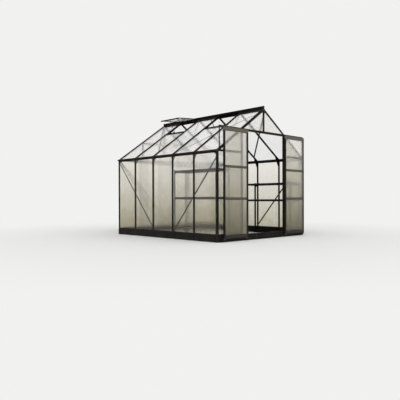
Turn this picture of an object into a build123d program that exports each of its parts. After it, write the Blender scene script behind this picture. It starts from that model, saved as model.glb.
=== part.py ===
from build123d import *

import math
import os

# Overall size, in millimetres
BAY = 621                # spacing of the bars along the side walls
BAYS = 5                 # bays in the length
WIDTH = 2662             # from side glazing to side glazing
BASE_HEIGHT = 120        # ground to the top of the base frame
EAVE_HEIGHT = 1552       # base top to the line where wall and roof glazing meet
RIDGE_HEIGHT = 2461      # base top to the line where the roof slopes meet
HEAD_DROP = 27           # bar over the doorway, below the rake's line at the door post
DOOR_POST = 657          # middle of the gable to the middle of each door post

# Glazing sheets and the slots that hold them
SHEET = 6                # thickness of the twin-wall sheets
SHEET_PLAY = 0.5         # room each side of a sheet in its slot
EDGE_PLAY = 2            # room between a sheet's edge and the bottom of its slot

# Glazing bars
WALL = 3                 # thickness of flanges and lips
CAP_WIDTH = 30           # width of the flanges that hold the sheets
WEB = 6                  # web between two sheets
STEM = 3                 # web behind the flanges
DEPTH = 27.5             # glazing plane to the inner face of every bar
CHANNEL_WIDTH = 16       # bolt channel on the inner edge
CHANNEL_DEPTH = 8.5
CHANNEL_WALL = 2
CHANNEL_MOUTH = 7
CORE = 8                 # glazing plane to the slot bottom in posts and rakes
CREST_RISE = 9           # hollow crest that stiffens a cap
CREST_FOOT = 22
CREST_TOP = 13
CREST_WALL = 2
CREST_SHORT = 10         # a roof bar's crest ends this far short of its tail
EDGE_ROUND = 2           # rounding of outside corners that hands touch

# Base, sills and eaves
BASE_PROUD = 10          # base face outside the glazing plane
BASE_WALL = 3
BASE_FOLD = 4            # outside radius of its folds
FLANGE_BEYOND = 2.5      # its flanges reach this far inside the bars
LIP = 22                 # height of the sill's lips above its plate
EAVE_DROP = 18           # eave line down to the underside of the eave bar's floor
EAVE_LIP = 20            # lips that hold the wall sheets, below that floor
EAVE_SEAT_UP = 36        # sloping seat, measured up the roof from the eave line
EAVE_SEAT_DOWN = 6
GUTTER_OUT = 33          # outer face of the gutter
GUTTER_RIM = 10          # gutter rim above the eave line
RIM_BEAD = 2.5           # radius of the bead along the rim
DRIP = 14                # roof sheets and caps run this far past the eave line

# Ridge
RIDGE_START = 8          # roof sheets start this far down the slope
RIDGE_WING = 32          # upper wings end
RIDGE_SEAT = 36          # lower seats end
RIDGE_UPSTAND = 60       # top of the ridge above the apex line
RIDGE_CROWN = 14         # half width of the crown
CROWN_RISE = 4           # arch of the crown
CROWN_LIP = 6            # lips that hang from its edges
KEEL_BELOW = 5           # bolt channel's underside below the rakes' lowest corner
HINGE_OUT = 14           # hinge groove from the middle of the ridge
HINGE_RISE = 24          # hinge groove above the apex line
HINGE_PIN = 4            # radius of the rolled edge in the groove
HINGE_PLAY = 0.3
HINGE_WALL = 2.7

# Roof vents, both on the left slope
VENT_BAYS = (1, 3)       # bay numbers from the front
VENT_TILT = {1: 13.0, 3: 3.8}    # flap angle below level, in degrees
VENT_LENGTH = 600
VENT_SIDE_PLAY = 5
VENT_RAIL = 22
VENT_DEPTH = 16
VENT_GROOVE = 10         # depth of the sheet's groove
VENT_SILL = 545          # sill bar's middle, down the slope from the apex line
SILL_UPSTAND = 18        # top of the sill's upstand, outside the roof's glazing plane
SILL_FOOT = 16
STAY_WIDTH = 16
STAY_THICK = 3
STAY_LUG = 12

# Sliding doors
LEAF_LAP = 21            # a leaf is this much wider than half the doorway, to the post's middle
LEAF_CLEAR = 6.5         # between the track and the back of a leaf
LEAF_DEPTH = 24
LEAF_UNDER_HEAD = 1      # top of the leaf below the middle of the head bar
LEAF_BOTTOM = -58        # from the base top
STILE = 38
TOP_RAIL = 68
BOTTOM_RAIL = 60
MID_RAIL = 38
MID_RAIL_HEIGHTS = (674, 1265)
TOP_RAIL_PROUD = 2
FRAME_WALL = 2
LEAF_GROOVE = 16         # depth of the glazing groove in stiles and rails
LEAF_PAST_TRACK = 3      # a leaf that is fully open passes the track's end by this
LEFT_LEAF_SHORT = 83     # the left leaf stands this short of fully open
TRACK_SHORT = 29         # end of the track inside the side glazing plane
TRACK_OVER = 21          # top of the track above the middle of the head bar
CREST_OFF_TRACK = 3      # the middle upright's crest starts this far above the track
TRACK_UNDER = 23
TRACK_DEPTH = 25
TRACK_LIP = 6            # lips along the front of its floor and of its hood
TRACK_BEAD = 13.5        # back of the track to the middle of the bead that the wheels run on
BEAD_HEIGHT = 5
BEAD_WIDTH = 2
WHEEL = 12
WHEEL_GROOVE = 3
GROOVE_FLARE = 3         # mouth of the groove, as a multiple of its bottom
WHEEL_WIDTH = 10
WHEEL_INSET = 70         # wheel from the leaf's edge
RUN_PLAY = 0.3
AXLE = 3
NUT = 6                  # radius over the corners of its nut
STRUT_WIDTH = 20
STRUT_DEPTH = 10
GUIDE_BOTTOM = 30        # guide rail's ledge above the ground
GUIDE_HEIGHT = 40
GUIDE_SHORT = 2          # the guide rail's ledge ends this far behind the front of a leaf
GUIDE_LIP_HEIGHT = 12
GUIDE_PLAY = 5           # between shoe and rail, up and down
SHOE_LENGTH = 45
SHOE_SLOT = 7

# Braces, gussets and end plates
BRACE_WIDTH = 30
BRACE_THICK = 3
WALL_BRACE_DROP = 90     # upper end below the eave line
GABLE_BRACE_DROP = 30
GUSSET_REACH = 130
GUSSET_THICK = 3
CORNER_PLATE = 88
END_PLATE = 2
END_PLATE_IN = 50

# Shelf units
SHELF_DEPTH = 340
SHELF_OFF_BRACE = 0.5    # behind a unit, the wall braces pass
SHELF_OFF_GABLE = 52.5   # front glazing plane to the front end of a unit
SHELF_BAR = 1            # the bar line, counted from the front, near which a unit ends
LEFT_SHELF_PAST = -19.5  # rear end of a unit past that line
RIGHT_SHELF_PAST = 60.5
LEFT_SHELF_HEIGHTS = (685, 1210)
RIGHT_SHELF_HEIGHTS = (635, 1000)
TRAY_EDGE = 44
TRAY_WALL = 2
LEG = 28
TRAY_TAB = 16            # tabs that hold a tray to the wall bars
TRAY_GUSSET = 60         # triangular plates in the back corners, under the upper tray

# Places worked out from the sizes above
HALF = WIDTH / 2
GABLE = BAY * BAYS / 2
EAVE_Z = BASE_HEIGHT + EAVE_HEIGHT
RIDGE_Z = BASE_HEIGHT + RIDGE_HEIGHT
PITCH = math.atan2(RIDGE_HEIGHT - EAVE_HEIGHT, HALF)
COS = math.cos(PITCH)
SIN = math.sin(PITCH)
SLOPE = HALF / COS
SLOT = SHEET / 2 + SHEET_PLAY          # glazing plane to the inside of a slot
FACE = SLOT + WALL                     # glazing plane to the outside of a cap
SHEET_IN_BAR = WEB / 2 + EDGE_PLAY     # bar's middle to the sheet's edge
SHEET_IN_CORE = CORE + EDGE_PLAY       # corner line to the sheet's edge
BAR_LINES = [BAY * (i - BAYS / 2) for i in range(1, BAYS)]
HALF_CAP = CAP_WIDTH / 2
BASE_FLANGE = BASE_PROUD + DEPTH + FLANGE_BEYOND
RIDGE_KEEL = (DEPTH + HALF_CAP * SIN) / COS - CHANNEL_DEPTH + KEEL_BELOW
DOOR_HEAD = RIDGE_HEIGHT - DOOR_POST * SIN / COS - HEAD_DROP
LEAF_TOP = DOOR_HEAD - LEAF_UNDER_HEAD
LEAF_WIDTH = DOOR_POST + LEAF_LAP
TRACK_OUT = FACE + TRACK_DEPTH
LEAF_BACK = TRACK_OUT + LEAF_CLEAR
LEAF_FRONT = LEAF_BACK + LEAF_DEPTH
LEAF_MIDDLE = LEAF_BACK + LEAF_DEPTH / 2
TRACK_HALF = HALF - TRACK_SHORT
RIGHT_LEAF_X = TRACK_HALF + LEAF_PAST_TRACK - LEAF_WIDTH / 2
LEFT_LEAF_X = LEFT_LEAF_SHORT - RIGHT_LEAF_X
FRONT_REACH = LEAF_FRONT + TOP_RAIL_PROUD
CENTRING = (FRONT_REACH - BASE_PROUD) / 2    # puts the box's middle over the origin

UP = Vector(0, 0, 1)
RIGHT = Vector(1, 0, 0)
REARWARD = Vector(0, 1, 0)

nodes = {}


# Basic operations

def strip(u0, u1, v0, v1):
    """Rectangle between two limits each way."""
    return Pos((u0 + u1) / 2, (v0 + v1) / 2) * Rectangle(abs(u1 - u0), abs(v1 - v0))


def member(section, start, end, outward, across=None):
    """Straight bar: the section's y points outward, its x along 'across' where that is given."""
    along = (end - start).normalized()
    sideways = outward.cross(along)
    if across is not None and sideways.dot(across) < 0:
        start, end = end, start
        along = -along
        sideways = -sideways
    section_plane = Plane(origin=start, x_dir=sideways, z_dir=along)
    return extrude(section_plane * section, amount=(end - start).length)


def trimmed(piece, at, away):
    """Cut the piece along the plane through 'at', and keep the part behind it."""
    return split(piece, bisect_by=Plane(origin=at, z_dir=away), keep=Keep.BOTTOM)


def plate(points, origin, x_dir, normal, thickness):
    """Flat plate with a straight-sided outline, thickened along the normal."""
    outline = make_face(Polyline(*points, close=True))
    return extrude(Plane(origin=origin, x_dir=x_dir, z_dir=normal) * outline, amount=thickness)


def block(x0, x1, y0, y1, z0, z1):
    """Straight block between two limits each way."""
    middle = Pos((x0 + x1) / 2, (y0 + y1) / 2, (z0 + z1) / 2)
    return middle * Box(abs(x1 - x0), abs(y1 - y0), abs(z1 - z0))


# Places on the building

def on_wall(side, y, z):
    return Vector(side * HALF, y, z)


def on_gable(end, x, z):
    return Vector(x, end * GABLE, z)


def on_roof(side, s, y, n=0.0):
    """Point s down the slope from the apex line and n outside the roof's glazing plane."""
    return Vector(side * (s * COS + n * SIN), y, RIDGE_Z - s * SIN + n * COS)


def roof_normal(side):
    return Vector(side * SIN, 0, COS)


def rake_underside(side):
    """A point on the underside of the rake bars of one slope."""
    return on_roof(side, SLOPE / 2, 0, -DEPTH)


# Sections of the bars: x runs across the bar, y points out of the building

def caps():
    return strip(-HALF_CAP, HALF_CAP, SLOT, FACE)


def tapered(foot, top, v0, v1, middle=0.0):
    """Trapezoid that narrows outward between two limits."""
    corners = [(-foot / 2, v0), (foot / 2, v0), (top / 2, v1), (-top / 2, v1)]
    return make_face(Polyline(*[(middle + x, y) for x, y in corners], close=True))


def crest(middle=0.0):
    """Hollow rib along the outside of a cap."""
    walls = 2 * CREST_WALL
    top = FACE + CREST_RISE
    shell = tapered(CREST_FOOT, CREST_TOP, FACE, top, middle)
    return shell - tapered(CREST_FOOT - walls, CREST_TOP - walls, FACE, top - CREST_WALL, middle)


def web():
    return strip(-WEB / 2, WEB / 2, -SLOT, SLOT)


def seat():
    return strip(-HALF_CAP, HALF_CAP, -FACE, -SLOT)


def stem():
    """Web behind the seat, ending in a channel for bolt heads."""
    channel_top = -DEPTH + CHANNEL_DEPTH
    half = CHANNEL_WIDTH / 2
    inner = half - CHANNEL_WALL
    channel = strip(-half, half, -DEPTH, channel_top)
    channel -= strip(-inner, inner, -DEPTH + CHANNEL_WALL, channel_top - CHANNEL_WALL)
    channel -= strip(-CHANNEL_MOUTH / 2, CHANNEL_MOUTH / 2, -DEPTH, -DEPTH + CHANNEL_WALL)
    return channel + strip(-STEM / 2, STEM / 2, channel_top, -FACE)


def full_bar():
    return caps() + web() + seat() + stem()


def corner_levels():
    """Post and rake section, cut in levels by depth: cap, core, seat and gable flanges."""
    cap = strip(-FACE, DEPTH, SLOT, FACE)
    core = strip(-FACE, CORE, -SLOT, SLOT) - strip(-SLOT, CORE - WALL, -SLOT, SLOT)
    seat_level = strip(-FACE, DEPTH, -FACE, -SLOT) - strip(-SLOT, CORE - WALL, -CORE + WALL, -SLOT)
    floor = strip(-FACE, CORE, -CORE, -FACE)
    flanges = strip(-FACE, -SLOT, -DEPTH, -CORE) + strip(SLOT, FACE, -DEPTH, -CORE)
    return cap, core, seat_level + floor + flanges


def corner_crest():
    return crest((DEPTH - FACE) / 2)


def door_post_section():
    """Bar with a slot on one side and a closed chamber on the doorway side."""
    jamb = strip(-HALF_CAP, -HALF_CAP + WALL, -SLOT, SLOT)
    return full_bar() + jamb


def sill_section():
    """Plate with two lips: x points up, y out of the building."""
    bottom = strip(0, WALL, -DEPTH, FACE)
    outer = strip(WALL, WALL + LIP, SLOT, FACE)
    inner = strip(WALL, WALL + LIP, -FACE, -SLOT)
    return bottom + outer + inner


def base_section():
    """Folded channel with rounded folds: x points up, y out of the building."""
    lip = BASE_PROUD - BASE_FLANGE
    outline = strip(0, BASE_HEIGHT, lip, BASE_PROUD)
    folds = outline.vertices().group_by(Axis.Y)[-1]
    outline = fillet(folds, BASE_FOLD)
    return outline - strip(BASE_WALL, BASE_HEIGHT - BASE_WALL, lip, BASE_PROUD - BASE_WALL)


def sloping_strip(s0, s1, n0, n1):
    """Strip along the roof slope, in a section with x up and y out, from the eave line."""
    corners = []
    for s, n in ((s0, n0), (s1, n0), (s1, n1), (s0, n1)):
        corners.append((n * COS - s * SIN, s * COS + n * SIN))
    return make_face(Polyline(*corners, close=True))


def eave_section():
    """Gutter, box and sloping seat above the lips: x points up, y out, from the eave line."""
    floor_top = -EAVE_DROP + WALL
    section = strip(-EAVE_DROP, floor_top, -DEPTH, GUTTER_OUT)
    section += strip(floor_top, GUTTER_RIM, GUTTER_OUT - WALL, GUTTER_OUT)
    section += Pos(GUTTER_RIM - RIM_BEAD, GUTTER_OUT - RIM_BEAD) * Circle(RIM_BEAD)
    section += sloping_strip(-EAVE_SEAT_UP, EAVE_SEAT_DOWN, -FACE, -SLOT)
    inner_top = (DEPTH * SIN - SLOT) / COS - WALL
    section += strip(floor_top, inner_top, -DEPTH, -DEPTH + WALL)
    section += strip(floor_top, -FACE / COS, 0, WALL)
    return section


def eave_lips():
    low = -EAVE_DROP - EAVE_LIP
    return strip(low, -EAVE_DROP, SLOT, FACE) + strip(low, -EAVE_DROP, -FACE, -SLOT)


def arch(half_width, foot, rise):
    """Segment of a circle that stands on a level line."""
    curve = ThreePointArc((-half_width, foot), (0, foot + rise), (half_width, foot))
    return make_face(curve + Line((half_width, foot), (-half_width, foot)))


def ridge_section():
    """Keel, seats, wings, hinge grooves and crown: x across, y up, from the apex line."""
    half = WEB / 2
    springing = RIDGE_UPSTAND - CROWN_RISE
    under_crown = springing - WALL
    section = strip(-half, half, -RIDGE_KEEL, springing)
    section += arch(RIDGE_CROWN, springing, CROWN_RISE) - arch(RIDGE_CROWN - WALL, under_crown, CROWN_RISE)
    section += strip(-half, half, under_crown, RIDGE_UPSTAND - WALL)
    box = CHANNEL_WIDTH / 2
    low = -RIDGE_KEEL - CHANNEL_DEPTH
    channel = strip(-box, box, low, -RIDGE_KEEL)
    channel -= strip(-box + CHANNEL_WALL, box - CHANNEL_WALL, low, -RIDGE_KEEL - CHANNEL_WALL)
    section += channel
    for side in (-1, 1):
        for first, last, n0, n1 in ((0, RIDGE_SEAT, -FACE, -SLOT), (0, RIDGE_WING, SLOT, FACE)):
            corners = []
            for s, n in ((first, n0), (last, n0), (last, n1), (first, n1)):
                corners.append((side * (s * COS + n * SIN), n * COS - s * SIN))
            section += make_face(Polyline(*corners, close=True))
        groove = Pos(side * HINGE_OUT, HINGE_RISE)
        outer = HINGE_PIN + HINGE_PLAY + HINGE_WALL
        section += groove * Circle(outer)
        section += strip(side * half, side * HINGE_OUT, HINGE_RISE - HINGE_WALL, HINGE_RISE)
        section -= groove * Circle(HINGE_PIN + HINGE_PLAY)
        mouth = Pos(side * (HINGE_OUT + outer), HINGE_RISE - HINGE_PIN / 2)
        section -= mouth * Rectangle(outer * 2, HINGE_PIN * 2)
        section += strip(side * RIDGE_CROWN, side * (RIDGE_CROWN - WALL), springing - CROWN_LIP, springing)
    return section


# Base frame: four folded channels, mitred at the corners

def base_side(side):
    run = GABLE + BASE_PROUD
    outward = RIGHT * side
    start = on_wall(side, -run, 0)
    end = on_wall(side, run, 0)
    piece = member(base_section(), start, end, outward, UP)
    for gable_end in (-1, 1):
        corner = Vector(side * HALF, gable_end * GABLE, 0)
        away = Vector(-side, gable_end, 0)
        piece = trimmed(piece, corner, away)
    return piece


def base_gable(end):
    run = HALF + BASE_PROUD
    piece = member(base_section(), on_gable(end, -run, 0), on_gable(end, run, 0), REARWARD * end, UP)
    for side in (-1, 1):
        corner = Vector(side * HALF, end * GABLE, 0)
        away = Vector(side, -end, 0)
        piece = trimmed(piece, corner, away)
    return piece


nodes["base_left"] = [base_side(-1)]
nodes["base_right"] = [base_side(1)]
nodes["base_front"] = [base_gable(-1)]
nodes["base_rear"] = [base_gable(1)]


# Sill bars: on the base, between the posts, open at the doorway

def sill(start, end, outward):
    return member(sill_section(), start, end, outward, UP)


POST_INSIDE = DEPTH
side_run = GABLE - POST_INSIDE
gable_run = HALF - POST_INSIDE
post_edge = DOOR_POST + HALF_CAP
sills = []
for side in (-1, 1):
    start = on_wall(side, -side_run, BASE_HEIGHT)
    end = on_wall(side, side_run, BASE_HEIGHT)
    sills.append(sill(start, end, RIGHT * side))
    start = on_gable(-1, side * post_edge, BASE_HEIGHT)
    end = on_gable(-1, side * gable_run, BASE_HEIGHT)
    sills.append(sill(start, end, -REARWARD))
start = on_gable(1, -gable_run, BASE_HEIGHT)
end = on_gable(1, gable_run, BASE_HEIGHT)
sills.append(sill(start, end, REARWARD))
nodes["sill_bars"] = sills


# Corner posts: slots for the side wall and for the gable

def corner_post(side, end):
    cap, core, lower = corner_levels()
    foot = Vector(side * HALF, end * GABLE, BASE_HEIGHT)
    head = Vector(side * HALF, end * GABLE, EAVE_Z - EAVE_DROP)
    section = cap + corner_crest() + core + lower
    return member(section, foot, head, RIGHT * side, REARWARD * -end)


nodes["corner_posts"] = [corner_post(side, end) for side in (-1, 1) for end in (-1, 1)]


# Eave bars with gutter, and the ridge

def eave_bar(side):
    outward = RIGHT * side
    full = GABLE + FACE
    body = member(eave_section(), on_wall(side, -full, EAVE_Z), on_wall(side, full, EAVE_Z), outward, UP)
    start = on_wall(side, -side_run, EAVE_Z)
    end = on_wall(side, side_run, EAVE_Z)
    return body + member(eave_lips(), start, end, outward, UP)


nodes["eave_left"] = [eave_bar(-1)]
nodes["eave_right"] = [eave_bar(1)]
ridge_start = Vector(0, -GABLE - FACE, RIDGE_Z)
ridge_end = Vector(0, GABLE + FACE, RIDGE_Z)
nodes["ridge_bar"] = [member(ridge_section(), ridge_start, ridge_end, UP)]


# Wall bars and rafters

def wall_bar(base_point, outward, head):
    """Upright bar on a sill: flanges stand on the lips, the stem on the plate."""
    flange_foot = base_point + UP * (WALL + LIP)
    flange_head = base_point + UP * (head - EAVE_LIP)
    flanges = member(caps() + crest() + web() + seat(), flange_foot, flange_head, outward)
    back = member(stem(), base_point + UP * WALL, base_point + UP * head, outward)
    return flanges + back


def rafter(side, y):
    outward = roof_normal(side)
    tail = SLOPE + DRIP
    cap = member(caps(), on_roof(side, RIDGE_WING, y), on_roof(side, tail, y), outward)
    cap += member(crest(), on_roof(side, RIDGE_WING, y), on_roof(side, tail - CREST_SHORT, y), outward)
    rib = member(web(), on_roof(side, RIDGE_START, y), on_roof(side, tail, y), outward)
    low_end = on_roof(side, SLOPE - EAVE_SEAT_UP, y)
    back = member(seat() + stem(), on_roof(side, RIDGE_SEAT, y), low_end, outward)
    return cap + rib + back


WALL_BAR_HEAD = EAVE_HEIGHT - EAVE_DROP
for side, name in ((-1, "left"), (1, "right")):
    bars = [wall_bar(on_wall(side, y, BASE_HEIGHT), RIGHT * side, WALL_BAR_HEAD) for y in BAR_LINES]
    nodes["wall_bars_" + name] = bars
    nodes["rafters_" + name] = [rafter(side, y) for y in BAR_LINES]


# Rakes: the sloping edge bars of the gables

def rake(side, end):
    cap, core, lower = corner_levels()
    outward = roof_normal(side)
    inward = REARWARD * -end
    y = end * GABLE
    tail = SLOPE + DRIP
    start = on_roof(side, RIDGE_WING, y)
    piece = member(cap, start, on_roof(side, tail, y), outward, inward)
    piece += member(corner_crest(), start, on_roof(side, tail - CREST_SHORT, y), outward, inward)
    piece += member(core, on_roof(side, RIDGE_START, y), on_roof(side, tail, y), outward, inward)
    low_end = on_roof(side, SLOPE - EAVE_SEAT_UP, y)
    piece += member(lower, on_roof(side, RIDGE_SEAT, y), low_end, outward, inward)
    return piece


nodes["front_rakes"] = [rake(side, -1) for side in (-1, 1)]
nodes["rear_rakes"] = [rake(side, 1) for side in (-1, 1)]


# Door posts, from the base up to the rakes

def under_rake(piece, side):
    return trimmed(piece, rake_underside(side), roof_normal(side))


def door_post(side):
    foot = on_gable(-1, side * DOOR_POST, BASE_HEIGHT)
    head = on_gable(-1, side * DOOR_POST, RIDGE_Z)
    post = member(door_post_section(), foot, head, -REARWARD, RIGHT * side)
    return under_rake(post, side)


nodes["door_posts"] = [door_post(side) for side in (-1, 1)]


# Gable bars: cross bars at eave and door-head height, and upright bars

def cross_bar(end, x0, x1, z):
    return member(full_bar(), on_gable(end, x0, z), on_gable(end, x1, z), REARWARD * end)


def gable_upright(end, x, foot_z, stem_z, crest_z, head_z):
    """Upright bar, whose flanges, stem and crest start at heights of their own."""
    outward = REARWARD * end
    head = on_gable(end, x, head_z)
    piece = member(caps() + web() + seat(), on_gable(end, x, foot_z), head, outward)
    piece += member(stem(), on_gable(end, x, stem_z), head, outward)
    return piece + member(crest(), on_gable(end, x, crest_z), head, outward)


HEAD_Z = BASE_HEIGHT + DOOR_HEAD
ridge_under = RIDGE_Z - RIDGE_KEEL - CHANNEL_DEPTH
inner_edge = DOOR_POST - HALF_CAP

front_bars = []
for side in (-1, 1):
    bar = cross_bar(-1, side * post_edge, side * gable_run, EAVE_Z)
    front_bars.append(under_rake(bar, side))
head_bar = cross_bar(-1, -inner_edge, inner_edge, HEAD_Z)
front_bars.append(under_rake(under_rake(head_bar, -1), 1))
front_foot = HEAD_Z + HALF_CAP
over_track = HEAD_Z + TRACK_OVER + CREST_OFF_TRACK
front_bars.append(gable_upright(-1, 0, front_foot, front_foot, over_track, ridge_under))
nodes["front_gable_bars"] = front_bars

rear_bars = []
sill_plate = BASE_HEIGHT + WALL
sill_lips = sill_plate + LIP
for side in (-1, 1):
    upright = gable_upright(1, side * DOOR_POST, sill_lips, sill_plate, sill_lips, RIDGE_Z)
    rear_bars.append(under_rake(upright, side))
    outer_bar = cross_bar(1, side * post_edge, side * gable_run, EAVE_Z)
    rear_bars.append(under_rake(outer_bar, side))
    rear_bars.append(cross_bar(1, side * HALF_CAP, side * inner_edge, EAVE_Z))
    high_bar = cross_bar(1, side * HALF_CAP, side * inner_edge, HEAD_Z)
    rear_bars.append(under_rake(high_bar, side))
rear_bars.append(gable_upright(1, 0, sill_lips, sill_plate, sill_lips, ridge_under))
nodes["rear_gable_bars"] = rear_bars


# Side wall sheets, one full-height sheet to a bay

def bay_limits(bay):
    """Edges of the sheet in one bay, counted from the front."""
    first = -GABLE + SHEET_IN_CORE if bay == 0 else BAR_LINES[bay - 1] + SHEET_IN_BAR
    last = GABLE - SHEET_IN_CORE if bay == BAYS - 1 else BAR_LINES[bay] - SHEET_IN_BAR
    return first, last


SHEET_FOOT = BASE_HEIGHT + WALL + EDGE_PLAY
for side, name in ((-1, "left"), (1, "right")):
    sheets = []
    for bay in range(BAYS):
        y0, y1 = bay_limits(bay)
        x = side * HALF
        top = EAVE_Z - EAVE_DROP - EDGE_PLAY
        sheets.append(block(x - SHEET / 2, x + SHEET / 2, y0, y1, SHEET_FOOT, top))
    nodes["wall_sheets_" + name] = sheets


# Roof sheets: shorter below the two vents

def roof_sheet(side, bay, start):
    y0, y1 = bay_limits(bay)
    corner = on_roof(side, start, y0, -SHEET / 2)
    down = on_roof(side, 1, 0) - on_roof(side, 0, 0)
    length = SLOPE + DRIP - start
    width = y1 - y0
    middle = corner + down * (length / 2) + REARWARD * (width / 2)
    slab = Rectangle(length, width)
    return extrude(Plane(origin=middle, x_dir=down, z_dir=roof_normal(side)) * slab, amount=SHEET)


left_roof = []
right_roof = []
for bay in range(BAYS):
    start = VENT_SILL + SHEET_IN_BAR if bay in VENT_BAYS else RIDGE_START
    left_roof.append(roof_sheet(-1, bay, start))
    right_roof.append(roof_sheet(1, bay, RIDGE_START))
nodes["roof_sheets_left"] = left_roof
nodes["roof_sheets_right"] = right_roof


# Gable sheets

def rake_edge(x):
    """Height of a gable sheet's sloping edge, in the rake's slot."""
    return RIDGE_Z - abs(x) * SIN / COS - SHEET_IN_CORE / COS


def gable_sheet(end, side, points):
    outline = [(side * x, z) for x, z in points]
    origin = Vector(0, end * GABLE + SHEET / 2, 0)
    return plate(outline, origin, RIGHT, -REARWARD, SHEET)


POST_SLOT = HALF - SHEET_IN_CORE
EAVE_CLEAR = HALF - DEPTH - EDGE_PLAY
POST_SHEET = DOOR_POST + SHEET_IN_BAR
INNER_SHEET = DOOR_POST - SHEET_IN_BAR
UNDER_EAVE = EAVE_Z - EAVE_DROP - EDGE_PLAY
RIDGE_CLEAR = ridge_under - EDGE_PLAY


def outer_low(foot):
    """Between corner post and door post, notched round the eave bar's end."""
    top = EAVE_Z - SHEET_IN_BAR
    low = [(POST_SHEET, foot), (POST_SLOT, foot), (POST_SLOT, UNDER_EAVE)]
    return low + [(EAVE_CLEAR, UNDER_EAVE), (EAVE_CLEAR, top), (POST_SHEET, top)]


def outer_high():
    foot = EAVE_Z + SHEET_IN_BAR
    outer = [(POST_SHEET, foot), (EAVE_CLEAR, foot), (EAVE_CLEAR, rake_edge(EAVE_CLEAR))]
    return outer + [(POST_SHEET, rake_edge(POST_SHEET))]


def top_sheet():
    foot = HEAD_Z + SHEET_IN_BAR
    apex = (RIDGE_Z - RIDGE_CLEAR - SHEET_IN_CORE / COS) * COS / SIN
    low = [(SHEET_IN_BAR, foot), (INNER_SHEET, foot), (INNER_SHEET, rake_edge(INNER_SHEET))]
    return low + [(apex, RIDGE_CLEAR), (SHEET_IN_BAR, RIDGE_CLEAR)]


def inner_panel(foot, top):
    return [(SHEET_IN_BAR, foot), (INNER_SHEET, foot), (INNER_SHEET, top), (SHEET_IN_BAR, top)]


front_sheets = []
rear_sheets = []
for side in (-1, 1):
    for end, sheets in ((-1, front_sheets), (1, rear_sheets)):
        sheets.append(gable_sheet(end, side, outer_low(SHEET_FOOT)))
        sheets.append(gable_sheet(end, side, outer_high()))
        sheets.append(gable_sheet(end, side, top_sheet()))
    rear_sheets.append(gable_sheet(1, side, inner_panel(SHEET_FOOT, EAVE_Z - SHEET_IN_BAR)))
    middle_panel = inner_panel(EAVE_Z + SHEET_IN_BAR, HEAD_Z - SHEET_IN_BAR)
    rear_sheets.append(gable_sheet(1, side, middle_panel))
nodes["front_gable_sheets"] = front_sheets
nodes["rear_gable_sheets"] = rear_sheets


# Braces: flat bars bolted across the channels on the inside

def flat_brace(start, end, outward):
    section = strip(-BRACE_WIDTH / 2, BRACE_WIDTH / 2, -BRACE_THICK, 0)
    return member(section, start, end, outward)


wall_braces = []
roof_braces = []
two_bays = GABLE - 2 * BAY
brace_end = GABLE - SLOT - BRACE_WIDTH / 2
knee_end = SLOPE - GUSSET_REACH
for side in (-1, 1):
    for end in (-1, 1):
        inner = side * (HALF - DEPTH)
        top = Vector(inner, end * brace_end, EAVE_Z - WALL_BRACE_DROP)
        foot = Vector(inner, end * two_bays, BASE_HEIGHT + WALL + BRACE_WIDTH)
        wall_braces.append(flat_brace(top, foot, RIGHT * side))
        high = on_roof(side, RIDGE_SEAT + BRACE_WIDTH, end * brace_end, -DEPTH)
        low = on_roof(side, knee_end - BRACE_WIDTH, end * two_bays, -DEPTH)
        roof_braces.append(flat_brace(high, low, roof_normal(side)))
nodes["wall_braces"] = wall_braces
nodes["roof_braces"] = roof_braces

gable_braces = []
for side in (-1, 1):
    y = GABLE - DEPTH
    top = Vector(side * (HALF - FACE - GUSSET_THICK - BRACE_WIDTH / 2), y, EAVE_Z - GABLE_BRACE_DROP)
    foot = Vector(side * BRACE_WIDTH, y, BASE_HEIGHT + WALL + BRACE_WIDTH)
    gable_braces.append(flat_brace(top, foot, REARWARD))
nodes["gable_braces"] = gable_braces


# Knee plates beside the bars at the eave, and corner plates on the side walls

def knee_plate(side, y):
    channel = DEPTH - CHANNEL_DEPTH
    beyond = DEPTH + CHANNEL_DEPTH
    below = EAVE_Z - EAVE_DROP - EDGE_PLAY
    foot = EAVE_Z - GUSSET_REACH
    up_roof = SLOPE - GUSSET_REACH
    points = [(HALF - channel, below), (HALF - channel, foot), (HALF - beyond, foot)]
    for s, n in ((up_roof, -beyond), (up_roof, -channel), (SLOPE - EAVE_SEAT_UP - CORE, -channel)):
        place = on_roof(1, s, 0, n)
        points.append((place.X, place.Z))
    points.append((HALF - DEPTH - WALL, below))
    outline = [(side * x, z) for x, z in points]
    origin = Vector(0, y + CHANNEL_WIDTH / 2 + GUSSET_THICK, 0)
    return plate(outline, origin, RIGHT, -REARWARD, GUSSET_THICK)


def corner_plate(side, end):
    near = GABLE - CORE - EDGE_PLAY
    far = near - CORNER_PLATE
    top = EAVE_Z - EAVE_DROP - EDGE_PLAY
    points = [(end * near, top), (end * far, top), (end * near, top - CORNER_PLATE)]
    left_face = side * (HALF - FACE - GUSSET_THICK / 2) - GUSSET_THICK / 2
    return plate(points, Vector(left_face, 0, 0), REARWARD, RIGHT, GUSSET_THICK)


knees = []
for side in (-1, 1):
    for y in BAR_LINES:
        knees.append(knee_plate(side, y))
    for end in (-1, 1):
        knees.append(corner_plate(side, end))
nodes["eave_gussets"] = knees


# End plates that close the gutters and the ridge

def eave_end_plate(side, end):
    shoulder = FACE / COS
    inner = HALF - END_PLATE_IN
    points = [(HALF + GUTTER_OUT, EAVE_Z - EAVE_DROP), (HALF + GUTTER_OUT, EAVE_Z + GUTTER_RIM),
              (HALF, EAVE_Z + shoulder), (inner, EAVE_Z + shoulder + END_PLATE_IN * SIN / COS),
              (inner, EAVE_Z - EAVE_DROP)]
    outline = [(side * x, z) for x, z in points]
    rear_face = end * (GABLE + FACE + END_PLATE / 2) + END_PLATE / 2
    origin = Vector(0, rear_face, 0)
    return plate(outline, origin, RIGHT, -REARWARD, END_PLATE)


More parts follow.
